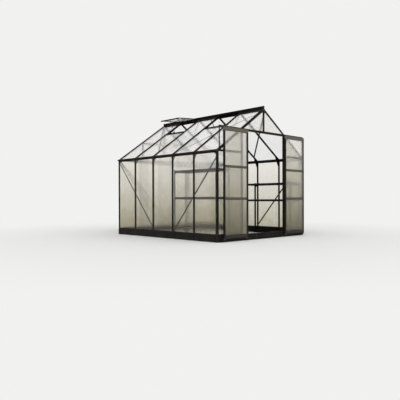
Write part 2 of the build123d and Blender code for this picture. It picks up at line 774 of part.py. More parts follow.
def ridge_end_plate(end):
    wing = on_roof(1, RIDGE_WING, 0, FACE)
    low = ridge_under
    crown = RIDGE_Z + RIDGE_UPSTAND
    half = [(RIDGE_CROWN, crown), (RIDGE_CROWN, RIDGE_Z + FACE), (wing.X, wing.Z), (wing.X, low)]
    outline = half + [(-x, z) for x, z in reversed(half)]
    rear_face = end * (GABLE + FACE + END_PLATE / 2) + END_PLATE / 2
    origin = Vector(0, rear_face, 0)
    return plate(outline, origin, RIGHT, -REARWARD, END_PLATE)


ends = [eave_end_plate(side, end) for side in (-1, 1) for end in (-1, 1)]
ends += [ridge_end_plate(end) for end in (-1, 1)]
nodes["end_plates"] = ends


# Door track over the gable, with its end struts, and the guide rail on the base

def front(distance):
    """Y of a plane that lies this far in front of the front glazing."""
    return -GABLE - distance


def track_section():
    """Rail with a hood, a floor and a bead: x points up, y out of the building."""
    low = HEAD_Z - TRACK_UNDER
    high = HEAD_Z + TRACK_OVER
    section = strip(low, high, FACE, FACE + WALL)
    section += strip(low, low + WALL, FACE, TRACK_OUT)
    section += strip(high - WALL, high, FACE, TRACK_OUT)
    section += strip(low, low + WALL + TRACK_LIP, TRACK_OUT - WALL, TRACK_OUT)
    section += strip(high - WALL - TRACK_LIP, high, TRACK_OUT - WALL, TRACK_OUT)
    bead_top = low + WALL + BEAD_HEIGHT
    half = BEAD_WIDTH / 2
    bead = FACE + TRACK_BEAD
    section += strip(low + WALL, bead_top, bead - half, bead + half)
    return section


def guide_section():
    low = GUIDE_BOTTOM
    section = strip(low, low + GUIDE_HEIGHT, BASE_PROUD, BASE_PROUD + WALL)
    section += strip(low, low + WALL, BASE_PROUD, LEAF_FRONT - GUIDE_SHORT)
    half = WALL / 2
    lip_top = low + WALL + GUIDE_LIP_HEIGHT
    section += strip(low + WALL, lip_top, LEAF_MIDDLE - half, LEAF_MIDDLE + half)
    return section


def front_rail(section):
    start = on_gable(-1, -TRACK_HALF, 0)
    end = on_gable(-1, TRACK_HALF, 0)
    return member(section, start, end, -REARWARD, UP)


nodes["door_track"] = [front_rail(track_section())]
nodes["door_guide_rail"] = [front_rail(guide_section())]
struts = []
for side in (-1, 1):
    back = FACE + END_PLATE
    outer = side * TRACK_HALF
    inner = side * (TRACK_HALF - STRUT_WIDTH)
    foot = EAVE_Z - EAVE_DROP
    head = HEAD_Z - TRACK_UNDER
    strut = block(inner, outer, front(back), front(back + STRUT_DEPTH), foot, head)
    bore_in = side * (TRACK_HALF - STRUT_WIDTH + FRAME_WALL)
    bore_out = side * (TRACK_HALF - FRAME_WALL)
    bore_y = (front(back + FRAME_WALL), front(back + STRUT_DEPTH - FRAME_WALL))
    bore = block(bore_in, bore_out, *bore_y, foot, head)
    struts.append(strut - bore)
nodes["track_struts"] = struts


# Door leaves: hollow stiles and rails, grooved for the sheets

LEAF_SLOT_FRONT = LEAF_DEPTH - FRAME_WALL
LEAF_SLOT_BACK = LEAF_SLOT_FRONT - 2 * SLOT


def leaf_profile(width, grooves):
    """Hollow profile: x from the outer edge, y from the back face, a groove on each listed side."""
    solid = strip(0, width, 0, LEAF_DEPTH)
    if "outer" not in grooves:
        outer_edge = solid.vertices().group_by(Axis.X)[0]
        solid = chamfer(outer_edge, EDGE_ROUND / 2)
    solid -= strip(FRAME_WALL, width - FRAME_WALL, FRAME_WALL, LEAF_SLOT_BACK - FRAME_WALL)
    inner0 = FRAME_WALL
    inner1 = width - FRAME_WALL
    depth = min(LEAF_GROOVE, (width - FRAME_WALL) / 2)
    if "inner" in grooves:
        solid -= strip(width - depth, width, LEAF_SLOT_BACK, LEAF_SLOT_FRONT)
        inner1 = width - depth - FRAME_WALL
    if "outer" in grooves:
        solid -= strip(0, depth, LEAF_SLOT_BACK, LEAF_SLOT_FRONT)
        inner0 = depth + FRAME_WALL
    if inner1 - inner0 > FRAME_WALL:
        solid -= strip(inner0, inner1, LEAF_SLOT_BACK, LEAF_SLOT_FRONT)
    return solid


def leaf(centre):
    """Stiles, rails and sheets of one leaf, then its wheels and axles."""
    left = centre - LEAF_WIDTH / 2
    right = centre + LEAF_WIDTH / 2
    low = BASE_HEIGHT + LEAF_BOTTOM
    high = BASE_HEIGHT + LEAF_TOP
    back = front(LEAF_BACK)
    frame_parts = []
    for edge, inward in ((left, 1), (right, -1)):
        profile = leaf_profile(STILE, ("inner",))
        foot = Vector(edge, back, low)
        head = Vector(edge, back, high)
        frame_parts.append(member(profile, foot, head, -REARWARD, RIGHT * inward))
    inside = (left + STILE, right - STILE)
    top_low = high - TOP_RAIL
    bottom_high = low + BOTTOM_RAIL
    rail_specs = [(high, TOP_RAIL, -1, ("inner",)), (low, BOTTOM_RAIL, 1, ("inner",))]
    for height in MID_RAIL_HEIGHTS:
        rail_specs.append((BASE_HEIGHT + height - MID_RAIL / 2, MID_RAIL, 1, ("inner", "outer")))
    for z, width, direction, grooves in rail_specs:
        start = Vector(inside[0], back, z)
        end = Vector(inside[1], back, z)
        frame_parts.append(member(leaf_profile(width, grooves), start, end, -REARWARD, UP * direction))
    cover_back = front(LEAF_FRONT)
    cover_front = front(LEAF_FRONT + TOP_RAIL_PROUD)
    frame_parts.append(block(left, right, cover_back, cover_front, top_low, high))

    levels = [bottom_high]
    for height in MID_RAIL_HEIGHTS:
        levels += [BASE_HEIGHT + height - MID_RAIL / 2, BASE_HEIGHT + height + MID_RAIL / 2]
    levels.append(top_low)
    bite = LEAF_GROOVE - EDGE_PLAY
    sheet_mid = LEAF_BACK + (LEAF_SLOT_FRONT + LEAF_SLOT_BACK) / 2
    sheet_parts = []
    for z0, z1 in zip(levels[::2], levels[1::2]):
        y0 = front(sheet_mid + SHEET / 2)
        y1 = front(sheet_mid - SHEET / 2)
        sheet_parts.append(block(inside[0] - bite, inside[1] + bite, y0, y1, z0 - bite, z1 + bite))

    runners = wheels(left, right) + shoes(left, right, low)
    return frame_parts, sheet_parts, runners


def wheels(left, right):
    """Two grooved wheels of a leaf, on bolts whose nuts are behind them."""
    bead_top = HEAD_Z - TRACK_UNDER + WALL + BEAD_HEIGHT
    axle_z = bead_top + RUN_PLAY + WHEEL - WHEEL_GROOVE
    half = WHEEL_WIDTH / 2
    bottom = WHEEL - WHEEL_GROOVE
    narrow = BEAD_WIDTH / 2 + RUN_PLAY
    wide = narrow * GROOVE_FLARE
    groove = [(WHEEL, -wide), (bottom, -narrow), (bottom, narrow), (WHEEL, wide)]
    profile = strip(AXLE + RUN_PLAY, WHEEL, -half, half) - make_face(Polyline(*groove, close=True))
    length = LEAF_BACK - FACE - TRACK_BEAD + half + RUN_PLAY
    parts = []
    for x in (left + WHEEL_INSET, right - WHEEL_INSET):
        place = Plane(origin=(x, front(FACE + TRACK_BEAD), axle_z), x_dir=UP, z_dir=RIGHT)
        parts.append(revolve(place * profile, axis=Axis((x, 0, axle_z), (0, 1, 0))))
        foot = Plane(origin=(x, front(LEAF_BACK), axle_z), x_dir=RIGHT, z_dir=REARWARD)
        nut_face = foot.offset(length)
        bolt = extrude(foot * Circle(AXLE), amount=length)
        parts.append(bolt + extrude(nut_face * RegularPolygon(NUT, 6), amount=WALL))
    return parts


def shoes(left, right, leaf_low):
    """Slotted blocks under a leaf, over the guide rail's lip."""
    low = GUIDE_BOTTOM + WALL + GUIDE_PLAY
    slot_top = low + GUIDE_LIP_HEIGHT
    parts = []
    for x in (left, right - SHOE_LENGTH):
        body = block(x, x + SHOE_LENGTH, front(LEAF_BACK), front(LEAF_FRONT), low, leaf_low)
        edges = body.edges().filter_by(Axis.Z)
        body = chamfer(edges, EDGE_ROUND)
        slot_y = (front(LEAF_MIDDLE - SHOE_SLOT / 2), front(LEAF_MIDDLE + SHOE_SLOT / 2))
        parts.append(body - block(x, x + SHOE_LENGTH, *slot_y, low, slot_top))
    return parts


for name, centre in (("left", LEFT_LEAF_X), ("right", RIGHT_LEAF_X)):
    frame_parts, sheet_parts, running_parts = leaf(centre)
    nodes["door_" + name + "_frame"] = frame_parts
    nodes["door_" + name + "_sheets"] = sheet_parts
    nodes["door_" + name + "_runners"] = running_parts


# Roof vents: framed flaps that hook into the ridge, their sills and stays

def vent_sill_section():
    """Upstand, cap over the sheet below, seat and footed stem: x points down the slope."""
    web_side = -WEB / 2
    section = seat() + web() + strip(web_side, HALF_CAP, SLOT, FACE)
    section += strip(web_side, web_side + WALL, FACE, SILL_UPSTAND)
    section += strip(-STEM / 2, STEM / 2, -DEPTH, -FACE)
    return section + strip(-SILL_FOOT / 2, SILL_FOOT / 2, -DEPTH, -DEPTH + STEM)


def vent(bay):
    """Frame pieces, sheet, sill and stay of one vent on the left slope."""
    tilt = math.radians(VENT_TILT[bay])
    out = Vector(-math.cos(tilt), 0, -math.sin(tilt))
    lift = Vector(-math.sin(tilt), 0, math.cos(tilt))
    y0 = BAY * (bay - BAYS / 2) + VENT_SIDE_PLAY
    y1 = BAY * (bay + 1 - BAYS / 2) - VENT_SIDE_PLAY
    middle = (y0 + y1) / 2
    hinge = Vector(-HINGE_OUT, 0, RIDGE_Z + HINGE_RISE)

    def place(d, y, h):
        return hinge + out * d + REARWARD * y + lift * h

    neck = HINGE_PIN + HINGE_PLAY + HINGE_WALL + HINGE_PIN
    half = VENT_DEPTH / 2
    rail = strip(0, VENT_RAIL, -half, half)
    bottom = VENT_RAIL - VENT_GROOVE
    rail -= strip(bottom, VENT_RAIL, -SLOT, SLOT)
    rail -= strip(FRAME_WALL, bottom - FRAME_WALL, -half + FRAME_WALL, half - FRAME_WALL)
    hinge_rail = member(rail, place(neck, y0, 0), place(neck, y1, 0), lift, out)
    tongue = strip(0, neck, -WALL / 2, WALL / 2)
    hinge_rail += member(tongue, place(0, y0, 0), place(0, y1, 0), lift, out)
    pin_plane = Plane(origin=place(0, y0, 0), x_dir=out, z_dir=REARWARD)
    hinge_rail += extrude(pin_plane * Circle(HINGE_PIN), amount=y1 - y0)
    end_rail = member(rail, place(VENT_LENGTH, y0, 0), place(VENT_LENGTH, y1, 0), lift, -out)
    side_parts = []
    for y, inward in ((y0, 1), (y1, -1)):
        start = place(neck + VENT_RAIL, y, 0)
        end = place(VENT_LENGTH - VENT_RAIL, y, 0)
        side_parts.append(member(rail, start, end, lift, REARWARD * inward))
    bite = VENT_GROOVE - EDGE_PLAY
    d0 = neck + VENT_RAIL - bite
    d1 = VENT_LENGTH - VENT_RAIL + bite
    pane = Rectangle(d1 - d0, y1 - y0 - 2 * (VENT_RAIL - bite))
    pane_plane = Plane(origin=place((d0 + d1) / 2, middle, -SHEET / 2), x_dir=out, z_dir=lift)
    pane = extrude(pane_plane * pane, amount=SHEET)

    line0 = BAY * (bay - BAYS / 2) + HALF_CAP
    line1 = BAY * (bay + 1 - BAYS / 2) - HALF_CAP
    down = on_roof(-1, 1, 0) - on_roof(-1, 0, 0)
    normal = roof_normal(-1)
    sill_start = on_roof(-1, VENT_SILL, line0)
    sill_end = on_roof(-1, VENT_SILL, line1)
    sill_bar = member(vent_sill_section(), sill_start, sill_end, normal, down)

    top_lug = place(VENT_LENGTH - VENT_RAIL / 2, middle, -half - STAY_LUG / 2)
    low_lug = on_roof(-1, VENT_SILL + HALF_CAP / 2, middle, FACE + STAY_LUG / 2)
    stay_face = (top_lug - low_lug).cross(REARWARD).normalized()
    stay = member(Rectangle(STAY_WIDTH, STAY_THICK), low_lug, top_lug, stay_face)
    lug = Box(STAY_LUG, STAY_WIDTH, STAY_LUG)
    stay += Plane(origin=top_lug, x_dir=out, z_dir=lift).location * lug
    stay += Plane(origin=low_lug, x_dir=down, z_dir=normal).location * lug
    return [hinge_rail, end_rail] + side_parts, pane, sill_bar, stay


vent_frames = []
vent_sheets = []
vent_sills = []
vent_stays = []
for bay in VENT_BAYS:
    frame_parts, pane, sill_bar, stay = vent(bay)
    vent_frames += frame_parts
    vent_sheets.append(pane)
    vent_sills.append(sill_bar)
    vent_stays.append(stay)
nodes["vent_frames"] = vent_frames
nodes["vent_sheets"] = vent_sheets
nodes["vent_sills"] = vent_sills
nodes["vent_stays"] = vent_stays


# Shelf units: folded trays on angle legs, fixed to the wall bars

def shelf_unit(side, past, heights):
    front_y = SHELF_OFF_GABLE - GABLE
    rear_y = BAR_LINES[SHELF_BAR] + past
    back = side * (HALF - DEPTH - BRACE_THICK - SHELF_OFF_BRACE)
    inner = back - side * SHELF_DEPTH
    top = BASE_HEIGHT + max(heights) + TRAY_EDGE
    parts = []
    for x, x_in in ((back, -side), (inner, side)):
        for y, y_in in ((front_y, 1), (rear_y, -1)):
            angle = block(x, x + x_in * LEG, y, y + y_in * LEG, 0, top)
            cut = block(x + x_in * TRAY_WALL, x + x_in * LEG, y + y_in * TRAY_WALL, y + y_in * LEG, 0, top)
            parts.append(angle - cut)
    x0 = back - side * TRAY_WALL
    x1 = inner + side * TRAY_WALL
    y0 = front_y + TRAY_WALL
    y1 = rear_y - TRAY_WALL
    for height in heights:
        z = BASE_HEIGHT + height
        low = z - TRAY_EDGE / 2
        high = z + TRAY_EDGE / 2
        under_x = (x0 - side * TRAY_WALL, x1 + side * TRAY_WALL)
        tray = block(x0, x1, y0, y1, low, high)
        tray -= block(*under_x, y0 + TRAY_WALL, y1 - TRAY_WALL, low, high - TRAY_WALL)
        for y in BAR_LINES:
            if y0 + LEG < y < y1 - LEG:
                tray += block(side * (HALF - DEPTH), x0, y - TRAY_TAB / 2, y + TRAY_TAB / 2, low, high)
        parts.append(tray)
    under = BASE_HEIGHT + max(heights) - TRAY_EDGE / 2
    gusset_middle = x0 - side * TRAY_WALL / 2
    gusset_origin = Vector(gusset_middle - TRAY_WALL / 2, 0, 0)
    for y, y_in in ((y0, 1), (y1, -1)):
        corners = [(y, under), (y + y_in * TRAY_GUSSET, under), (y, under - TRAY_GUSSET)]
        parts.append(plate(corners, gusset_origin, REARWARD, RIGHT, TRAY_WALL))
    return parts


nodes["shelf_left"] = shelf_unit(-1, LEFT_SHELF_PAST, LEFT_SHELF_HEIGHTS)
nodes["shelf_right"] = shelf_unit(1, RIGHT_SHELF_PAST, RIGHT_SHELF_HEIGHTS)


# Each sub-part goes to its own file, with the whole centred over the origin

os.makedirs("parts", exist_ok=True)
for name, pieces in nodes.items():
    solids = []
    for piece in pieces:
        moved = Pos(0, CENTRING, 0) * piece
        solids += moved.solids()
    export_step(Compound(children=solids), "parts/" + name + ".step")
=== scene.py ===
import math

import bmesh
import bpy
import numpy as np
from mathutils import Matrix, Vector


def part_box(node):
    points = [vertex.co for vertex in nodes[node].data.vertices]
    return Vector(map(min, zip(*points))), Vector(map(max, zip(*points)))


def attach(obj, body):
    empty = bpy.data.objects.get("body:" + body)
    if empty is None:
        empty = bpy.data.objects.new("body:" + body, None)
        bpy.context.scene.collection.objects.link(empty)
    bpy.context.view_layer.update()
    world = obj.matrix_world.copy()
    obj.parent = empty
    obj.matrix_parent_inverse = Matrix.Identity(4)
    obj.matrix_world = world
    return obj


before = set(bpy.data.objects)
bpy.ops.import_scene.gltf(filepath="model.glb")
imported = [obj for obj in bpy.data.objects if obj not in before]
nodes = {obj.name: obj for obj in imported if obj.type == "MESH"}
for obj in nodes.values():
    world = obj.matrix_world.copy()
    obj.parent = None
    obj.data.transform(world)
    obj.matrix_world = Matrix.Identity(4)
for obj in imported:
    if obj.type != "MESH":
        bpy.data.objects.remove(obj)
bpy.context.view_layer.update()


# Base frame
# Four folded steel channels with mitred corners carry the house. They are dipped in a matt black
# coat, which has a fine orange-peel grain and takes dust on top and soil splashes near the ground.

def add(tree, kind, feeds=None, **settings):
    """Add one shader node, set its properties, and feed its inputs from sockets or plain values."""
    made = tree.nodes.new(kind)
    for key, value in settings.items():
        setattr(made, key, value)
    for name, value in (feeds or {}).items():
        socket = made.inputs[name]
        if isinstance(value, bpy.types.NodeSocket):
            tree.links.new(value, socket)
        else:
            socket.default_value = value
    return made


def maths(tree, operation, first, second=0.0, third=0.0, clamp=False):
    """Output of one maths node."""
    feeds = {0: first, 1: second, 2: third}
    return add(tree, "ShaderNodeMath", feeds, operation=operation, use_clamp=clamp).outputs[0]


def contrast(tree, value, gain, shift):
    """Value times gain plus shift, kept from 0 to 1."""
    return maths(tree, "MULTIPLY_ADD", value, gain, shift, clamp=True)


def mix(tree, factor, first, second):
    """Colour output of a mix from the first colour to the second."""
    made = add(tree, "ShaderNodeMix", {0: factor, 6: first, 7: second}, data_type="RGBA")
    return made.outputs[2]


def noise(tree, place, scale, detail, roughness=0.5):
    """Output of one noise texture, from 0 to 1."""
    feeds = {"Vector": place, "Scale": scale, "Detail": detail, "Roughness": roughness}
    return add(tree, "ShaderNodeTexNoise", feeds).outputs["Fac"]


def object_place(tree):
    """Each point's place in metres, as a vector."""
    return add(tree, "ShaderNodeTexCoord").outputs["Object"]


def parts(tree, vector):
    """The three parts of a vector."""
    return add(tree, "ShaderNodeSeparateXYZ", {0: vector}).outputs


def group(name, inputs, outputs):
    """Empty node group with named inputs (label, kind, value) and outputs (label, kind)."""
    tree = bpy.data.node_groups.new(name, "ShaderNodeTree")
    for label, kind, value in inputs:
        tree.interface.new_socket(name=label, in_out="INPUT", socket_type=kind).default_value = value
    for label, kind in outputs:
        tree.interface.new_socket(name=label, in_out="OUTPUT", socket_type=kind)
    return tree, tree.nodes.new("NodeGroupInput").outputs, tree.nodes.new("NodeGroupOutput").inputs


COLOUR = "NodeSocketColor"
VALUE = "NodeSocketFloat"
X_AXIS, Y_AXIS, Z_AXIS = range(3)

# Coat: mottled tone, dust on faces that look up, splashes that fade with height, grain for the bump
GRAIN_SCALE = 700.0
MOTTLE_SCALE = 6.0
STREAK_SCALES = (11.0, 11.0, 3.0)
SPLASH_FADE = -4.5
MOTTLE_LIFT = 1.45
coat_tree, coat_in, coat_out = group(
    "coat_surface",
    [("Coat", COLOUR, (0.015, 0.014, 0.013, 1)), ("Dust", COLOUR, (0.20, 0.185, 0.16, 1)),
     ("Dust amount", VALUE, 0.35), ("Splash amount", VALUE, 0.3), ("Roughness", VALUE, 0.5)],
    [("Color", COLOUR), ("Roughness", VALUE), ("Height", VALUE)])
place = object_place(coat_tree)
grain = noise(coat_tree, place, GRAIN_SCALE, 1.0)
mottle = noise(coat_tree, place, MOTTLE_SCALE, 4.0)
stretched = add(coat_tree, "ShaderNodeMapping", {"Vector": place, "Scale": STREAK_SCALES}).outputs[0]
streaks = noise(coat_tree, stretched, 1.0, 3.0)
facing_up = parts(coat_tree, add(coat_tree, "ShaderNodeNewGeometry").outputs["Normal"])[Z_AXIS]
height = parts(coat_tree, place)[Z_AXIS]
upward = contrast(coat_tree, facing_up, gain=1.6, shift=0.0)
patches = contrast(coat_tree, mottle, gain=1.6, shift=-0.3)
dust = maths(coat_tree, "MULTIPLY", maths(coat_tree, "MULTIPLY", upward, patches), coat_in["Dust amount"])
low = contrast(coat_tree, height, gain=SPLASH_FADE, shift=1.0)
runs_down = contrast(coat_tree, streaks, gain=2.4, shift=-0.8)
splash = maths(coat_tree, "MULTIPLY", maths(coat_tree, "MULTIPLY", low, runs_down), coat_in["Splash amount"])
dirt = maths(coat_tree, "ADD", dust, splash, clamp=True)
lighter = add(coat_tree, "ShaderNodeVectorMath", {0: coat_in["Coat"], 3: MOTTLE_LIFT},
              operation="SCALE").outputs[0]
mottled = contrast(coat_tree, mottle, gain=3.0, shift=-1.0)
toned = mix(coat_tree, mottled, coat_in["Coat"], lighter)
coat_tree.links.new(mix(coat_tree, dirt, toned, coat_in["Dust"]), coat_out["Color"])
smoothest = maths(coat_tree, "SUBTRACT", coat_in["Roughness"], 0.08)
rough = maths(coat_tree, "MULTIPLY_ADD", mottle, 0.16, smoothest)
coat_tree.links.new(contrast(coat_tree, dirt, gain=0.3, shift=rough), coat_out["Roughness"])
coat_tree.links.new(maths(coat_tree, "MULTIPLY_ADD", dirt, 0.5, grain), coat_out["Height"])


def empty_material(name):
    """New material without nodes, and its node tree."""
    material = bpy.data.materials.new(name)
    material.use_nodes = True
    material.node_tree.nodes.clear()
    return material, material.node_tree


def coated(name, colour, dust, splash, rough, grain_depth, specular=0.35):
    """Coated or moulded finish: the coat group under a Principled shader, its grain as bump."""
    material, tree = empty_material(name)
    amounts = {"Coat": (*colour, 1), "Dust amount": dust, "Splash amount": splash, "Roughness": rough}
    coat = add(tree, "ShaderNodeGroup", amounts, node_tree=coat_tree).outputs
    bump = add(tree, "ShaderNodeBump", {"Height": coat["Height"], "Strength": 0.5, "Distance": grain_depth})
    shader = add(tree, "ShaderNodeBsdfPrincipled", {
        "Base Color": coat["Color"], "Roughness": coat["Roughness"], "Normal": bump.outputs[0],
        "Specular IOR Level": specular})
    tree.links.new(shader.outputs[0], add(tree, "ShaderNodeOutputMaterial").inputs[0])
    return material


def shader_of(material):
    """The Principled shader in a material."""
    return next(node for node in material.node_tree.nodes if node.type == "BSDF_PRINCIPLED")


def finish_node(name, material):
    """Give a carried-over piece its finish."""
    slots = nodes[name].material_slots
    if not slots:
        nodes[name].data.materials.append(material)
    for slot in slots:
        slot.link = "OBJECT"
        slot.material = material


dipped_steel = coated("dipped_steel", (0.0070, 0.0063, 0.0050), dust=0.10, splash=0.10, rough=0.60,
                      grain_depth=0.0004, specular=0.09)
for side in ("front", "left", "rear", "right"):
    finish_node("base_" + side, dipped_steel)


# Base corner screws
# Blackened pan-head screws hold each mitred corner of the base, two from either side but only one at the
# front, where the guide rail runs. Each head is turned round its own axis and has a six-sided socket.

def turned(profile, around=12):
    """Rings of a turned shape: each row (radius, height, six) of the profile goes round the third axis,
    and where six is 1 its radius is divided by the cosine of the angle from a hexagon's nearest flat."""
    radius, rise, six = np.array(profile, dtype=float).T[:, :, None]
    angle = np.arange(around) * 2 * np.pi / around
    from_flat = (angle + np.pi / 6) % (np.pi / 3) - np.pi / 6
    reach = radius * (1 + six * (1 / np.cos(from_flat) - 1))
    return np.stack([reach * np.cos(angle), reach * np.sin(angle), rise + 0 * angle], axis=-1)


def placed(shape, spots, outward):
    """Copies of a shape: each point is the spot plus its three values along axes whose third is outward."""
    spots = np.atleast_2d(spots)
    third = np.broadcast_to(np.array(outward, dtype=float), spots.shape)
    third = third / np.linalg.norm(third, axis=1, keepdims=True)
    guide = np.where(np.abs(third[:, 2:]) < 0.9, (0.0, 0.0, 1.0), (1.0, 0.0, 0.0))
    first = np.cross(guide, third)
    first /= np.linalg.norm(first, axis=1, keepdims=True)
    axes = np.stack([first, np.cross(third, first), third], axis=1)
    return spots[:, None, None] + np.einsum("rpk,ckj->crpj", shape, axes)


def grid(*places):
    """Every combination of the places along the three axes, as rows."""
    return np.stack(np.meshgrid(*places, indexing="ij"), axis=-1).reshape(-1, 3)


def surface(name, body, slot, material, *shapes, closed=False):
    """Piece from rings of points (copies x rings x points x 3): quads join each ring to the next, and the
    last to the first where closed. Otherwise the first and last ring of each copy are filled."""
    corners, faces, start = [], [], 0
    for rings in shapes:
        index = start + np.arange(rings[..., 0].size).reshape(rings.shape[:3])
        low, high = (index, np.roll(index, -1, axis=1)) if closed else (index[:, :-1], index[:, 1:])
        walls = np.stack([low, np.roll(low, -1, axis=2), np.roll(high, -1, axis=2), high], axis=-1)
        faces += walls.reshape(-1, 4).tolist()
        if not closed:
            faces += index[:, 0].tolist() + index[:, -1].tolist()
        corners += rings.reshape(-1, 3).tolist()
        start += index.size
    mesh = bpy.data.meshes.new(name)
    mesh.from_pydata(corners, [], faces)
    shell = bmesh.new()
    shell.from_mesh(mesh)
    bmesh.ops.recalc_face_normals(shell, faces=shell.faces)
    shell.to_mesh(mesh)
    shell.free()
    mesh.materials.append(material)
    piece = bpy.data.objects.new(name, mesh)
    bpy.context.scene.collection.objects.link(piece)
    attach(piece, body)


SCREW = turned([(0.0048, 0, 0), (0.0048, 0.0008, 0), (0.0038, 0.0023, 0), (0.0021, 0.0030, 0),
                (0.0016, 0.0029, 1), (0.0015, 0.0014, 1)])
BASE_FACE = 1.341
BASE_FRONT = -1.5355
BASE_REAR = 1.5895
FROM_CORNER = 0.045
LOW_SCREW, HIGH_SCREW = 0.035, 0.088
blackened = coated("blackened", (0.010, 0.010, 0.010), dust=0.05, splash=0.10, rough=0.38,
                   grain_depth=0.0001, specular=0.30)
screws = []
for side in (-1, 1):
    corner_y = [BASE_FRONT + FROM_CORNER, BASE_REAR - FROM_CORNER]
    screws.append(placed(SCREW, grid([side * BASE_FACE], corner_y, [LOW_SCREW, HIGH_SCREW]), (side, 0, 0)))
corner_x = [FROM_CORNER - BASE_FACE, BASE_FACE - FROM_CORNER]
screws.append(placed(SCREW, grid(corner_x, [BASE_FRONT], [HIGH_SCREW]), (0, -1, 0)))
screws.append(placed(SCREW, grid(corner_x, [BASE_REAR], [LOW_SCREW, HIGH_SCREW]), (0, 1, 0)))
surface("base_screws", "greenhouse", "fittings", blackened, *screws)


# Sills, posts, wall bars, rafters, rakes and gable bars
# Extruded aluminium bars, powder coated in matt black before they are cut. Rebates along them hold the
# sheets, and bolts in the channels on their inside join them to each other.

powder_coat = coated("powder_coat", (0.0095, 0.0081, 0.0060), dust=0.10, splash=0.10, rough=0.50,
                     grain_depth=0.00025, specular=0.08)
for name in ("sill_bars", "corner_posts", "door_posts", "wall_bars_left", "wall_bars_right", "eave_left",
             "eave_right", "ridge_bar", "rafters_left", "rafters_right", "front_rakes", "rear_rakes",
             "front_gable_bars", "rear_gable_bars", "door_guide_rail", "track_struts", "vent_sills"):
    finish_node(name, powder_coat)


# Crest plugs
# The hollow crest along each roof bar ends just short of the gutter. A moulded plug closes it, so that
# no water runs in.

# The walls' and gables' sheets stand in these planes, and the roof's sheets run from the eaves to the apex
HALF_WIDTH = 1.331
EAVE_Z = 1.672
APEX_Z = 2.581
FRONT_GABLE = -1.5255
REAR_GABLE = 1.5795
BAY = 0.621
BARS = FRONT_GABLE + BAY * np.arange(1, 5)
PITCH_ANGLE = math.atan2(APEX_Z - EAVE_Z, HALF_WIDTH)
COS = math.cos(PITCH_ANGLE)
SIN = math.sin(PITCH_ANGLE)
SLOPE = HALF_WIDTH / COS
TAIL = SLOPE + 0.014
RAKE_CREST = 0.0105
PLUG_START, PLUG_END = TAIL - 0.012, TAIL - 0.0078


def on_roof(side, down, y, out):
    """Place on a roof slope: how far down it from the apex line, how far along, and how far outside it."""
    x = side * (down * COS + out * SIN)
    z = APEX_Z - down * SIN + out * COS
    return np.stack(np.broadcast_arrays(x, y, z), axis=-1).astype(float)


def roof_axes(side):
    """Directions down a roof slope and out of it."""
    return np.array([side * COS, 0.0, -SIN]), np.array([side * SIN, 0.0, COS])


def drawn(outline, starts, ends, across, outward):
    """Straight runs of an outline: each point is the run's end plus x along across and y along outward."""
    path = np.stack([np.atleast_2d(starts), np.atleast_2d(ends)], axis=1)[:, :, None]
    across, outward = np.atleast_2d(across), np.atleast_2d(outward)
    return path + outline[:, :1] * across[:, None, None] + outline[:, 1:] * outward[:, None, None]


PLUG = np.array([(-0.0113, 0.0066), (0.0113, 0.0066), (0.0108, 0.0084), (0.0072, 0.0152),
                 (0.0062, 0.0159), (-0.0062, 0.0159), (-0.0072, 0.0152), (-0.0108, 0.0084)])
moulded_plug = coated("moulded_plug", (0.012, 0.012, 0.012), dust=0.15, splash=0.0, rough=0.55,
                      grain_depth=0.0002, specular=0.25)
crest_lines = np.array([FRONT_GABLE + RAKE_CREST, *BARS, REAR_GABLE - RAKE_CREST])
plugs = []
for side in (-1, 1):
    starts = on_roof(side, PLUG_START, crest_lines, 0.0)
    ends = on_roof(side, PLUG_END, crest_lines, 0.0)
    plugs.append(drawn(PLUG, starts, ends, (0, 1, 0), roof_axes(side)[1]))
surface("crest_plugs", "greenhouse", "end_plastic", moulded_plug, *plugs)


# Braces, knee plates and corner plates
# Pressed steel strip, zinc plated and then painted black, so a little glossier than the bars. The braces
# keep the frame square, the plates stiffen its knees and corners, and the vents' stays are strip too.

painted_strip = coated("painted_strip", (0.011, 0.0098, 0.0082), dust=0.10, splash=0.10, rough=0.42,
                       grain_depth=0.0002, specular=0.12)
for name in ("wall_braces", "roof_braces", "gable_braces", "eave_gussets", "vent_stays"):
    finish_node(name, painted_strip)


# Frame bolts
# The bars have channels on the inside that take bolt heads. Zinc-plated nuts on washers hold the braces,
# the knee and corner plates and the gable's cross bars against them.

NUT = turned([(0.0090, 0, 0), (0.0090, 0.0014, 0), (0.0050, 0.0014, 1), (0.0050, 0.0060, 1),
              (0.0030, 0.0060, 0), (0.0030, 0.0092, 0)])
zinc = coated("zinc", (0.26, 0.26, 0.25), dust=0.20, splash=0.0, rough=0.40, grain_depth=0.0001, specular=0.5)
shader_of(zinc).inputs["Metallic"].default_value = 0.9
MIDDLE_Y = (FRONT_GABLE + REAR_GABLE) / 2
BAR_DEPTH = 0.0275
BRACE_DEPTH = BAR_DEPTH + 0.003
HEAD_BAR_Z = 2.1053
# Nuts along a brace from its top to its foot, and where these two ends are
ALONG_BRACE = np.array([0.012, 0.4924, 0.985])[:, None]
BRACE_TOP_Y = 1.534
BRACE_FOOT_Z = 0.153
WALL_BRACE_TOP_Z = 1.582
ROOF_BRACE_TOP, ROOF_BRACE_FOOT = 0.066, SLOPE - 0.160
GABLE_BRACE_TOP_X, GABLE_BRACE_TOP_Z, GABLE_BRACE_FOOT_X = 1.3065, 1.642, 0.030
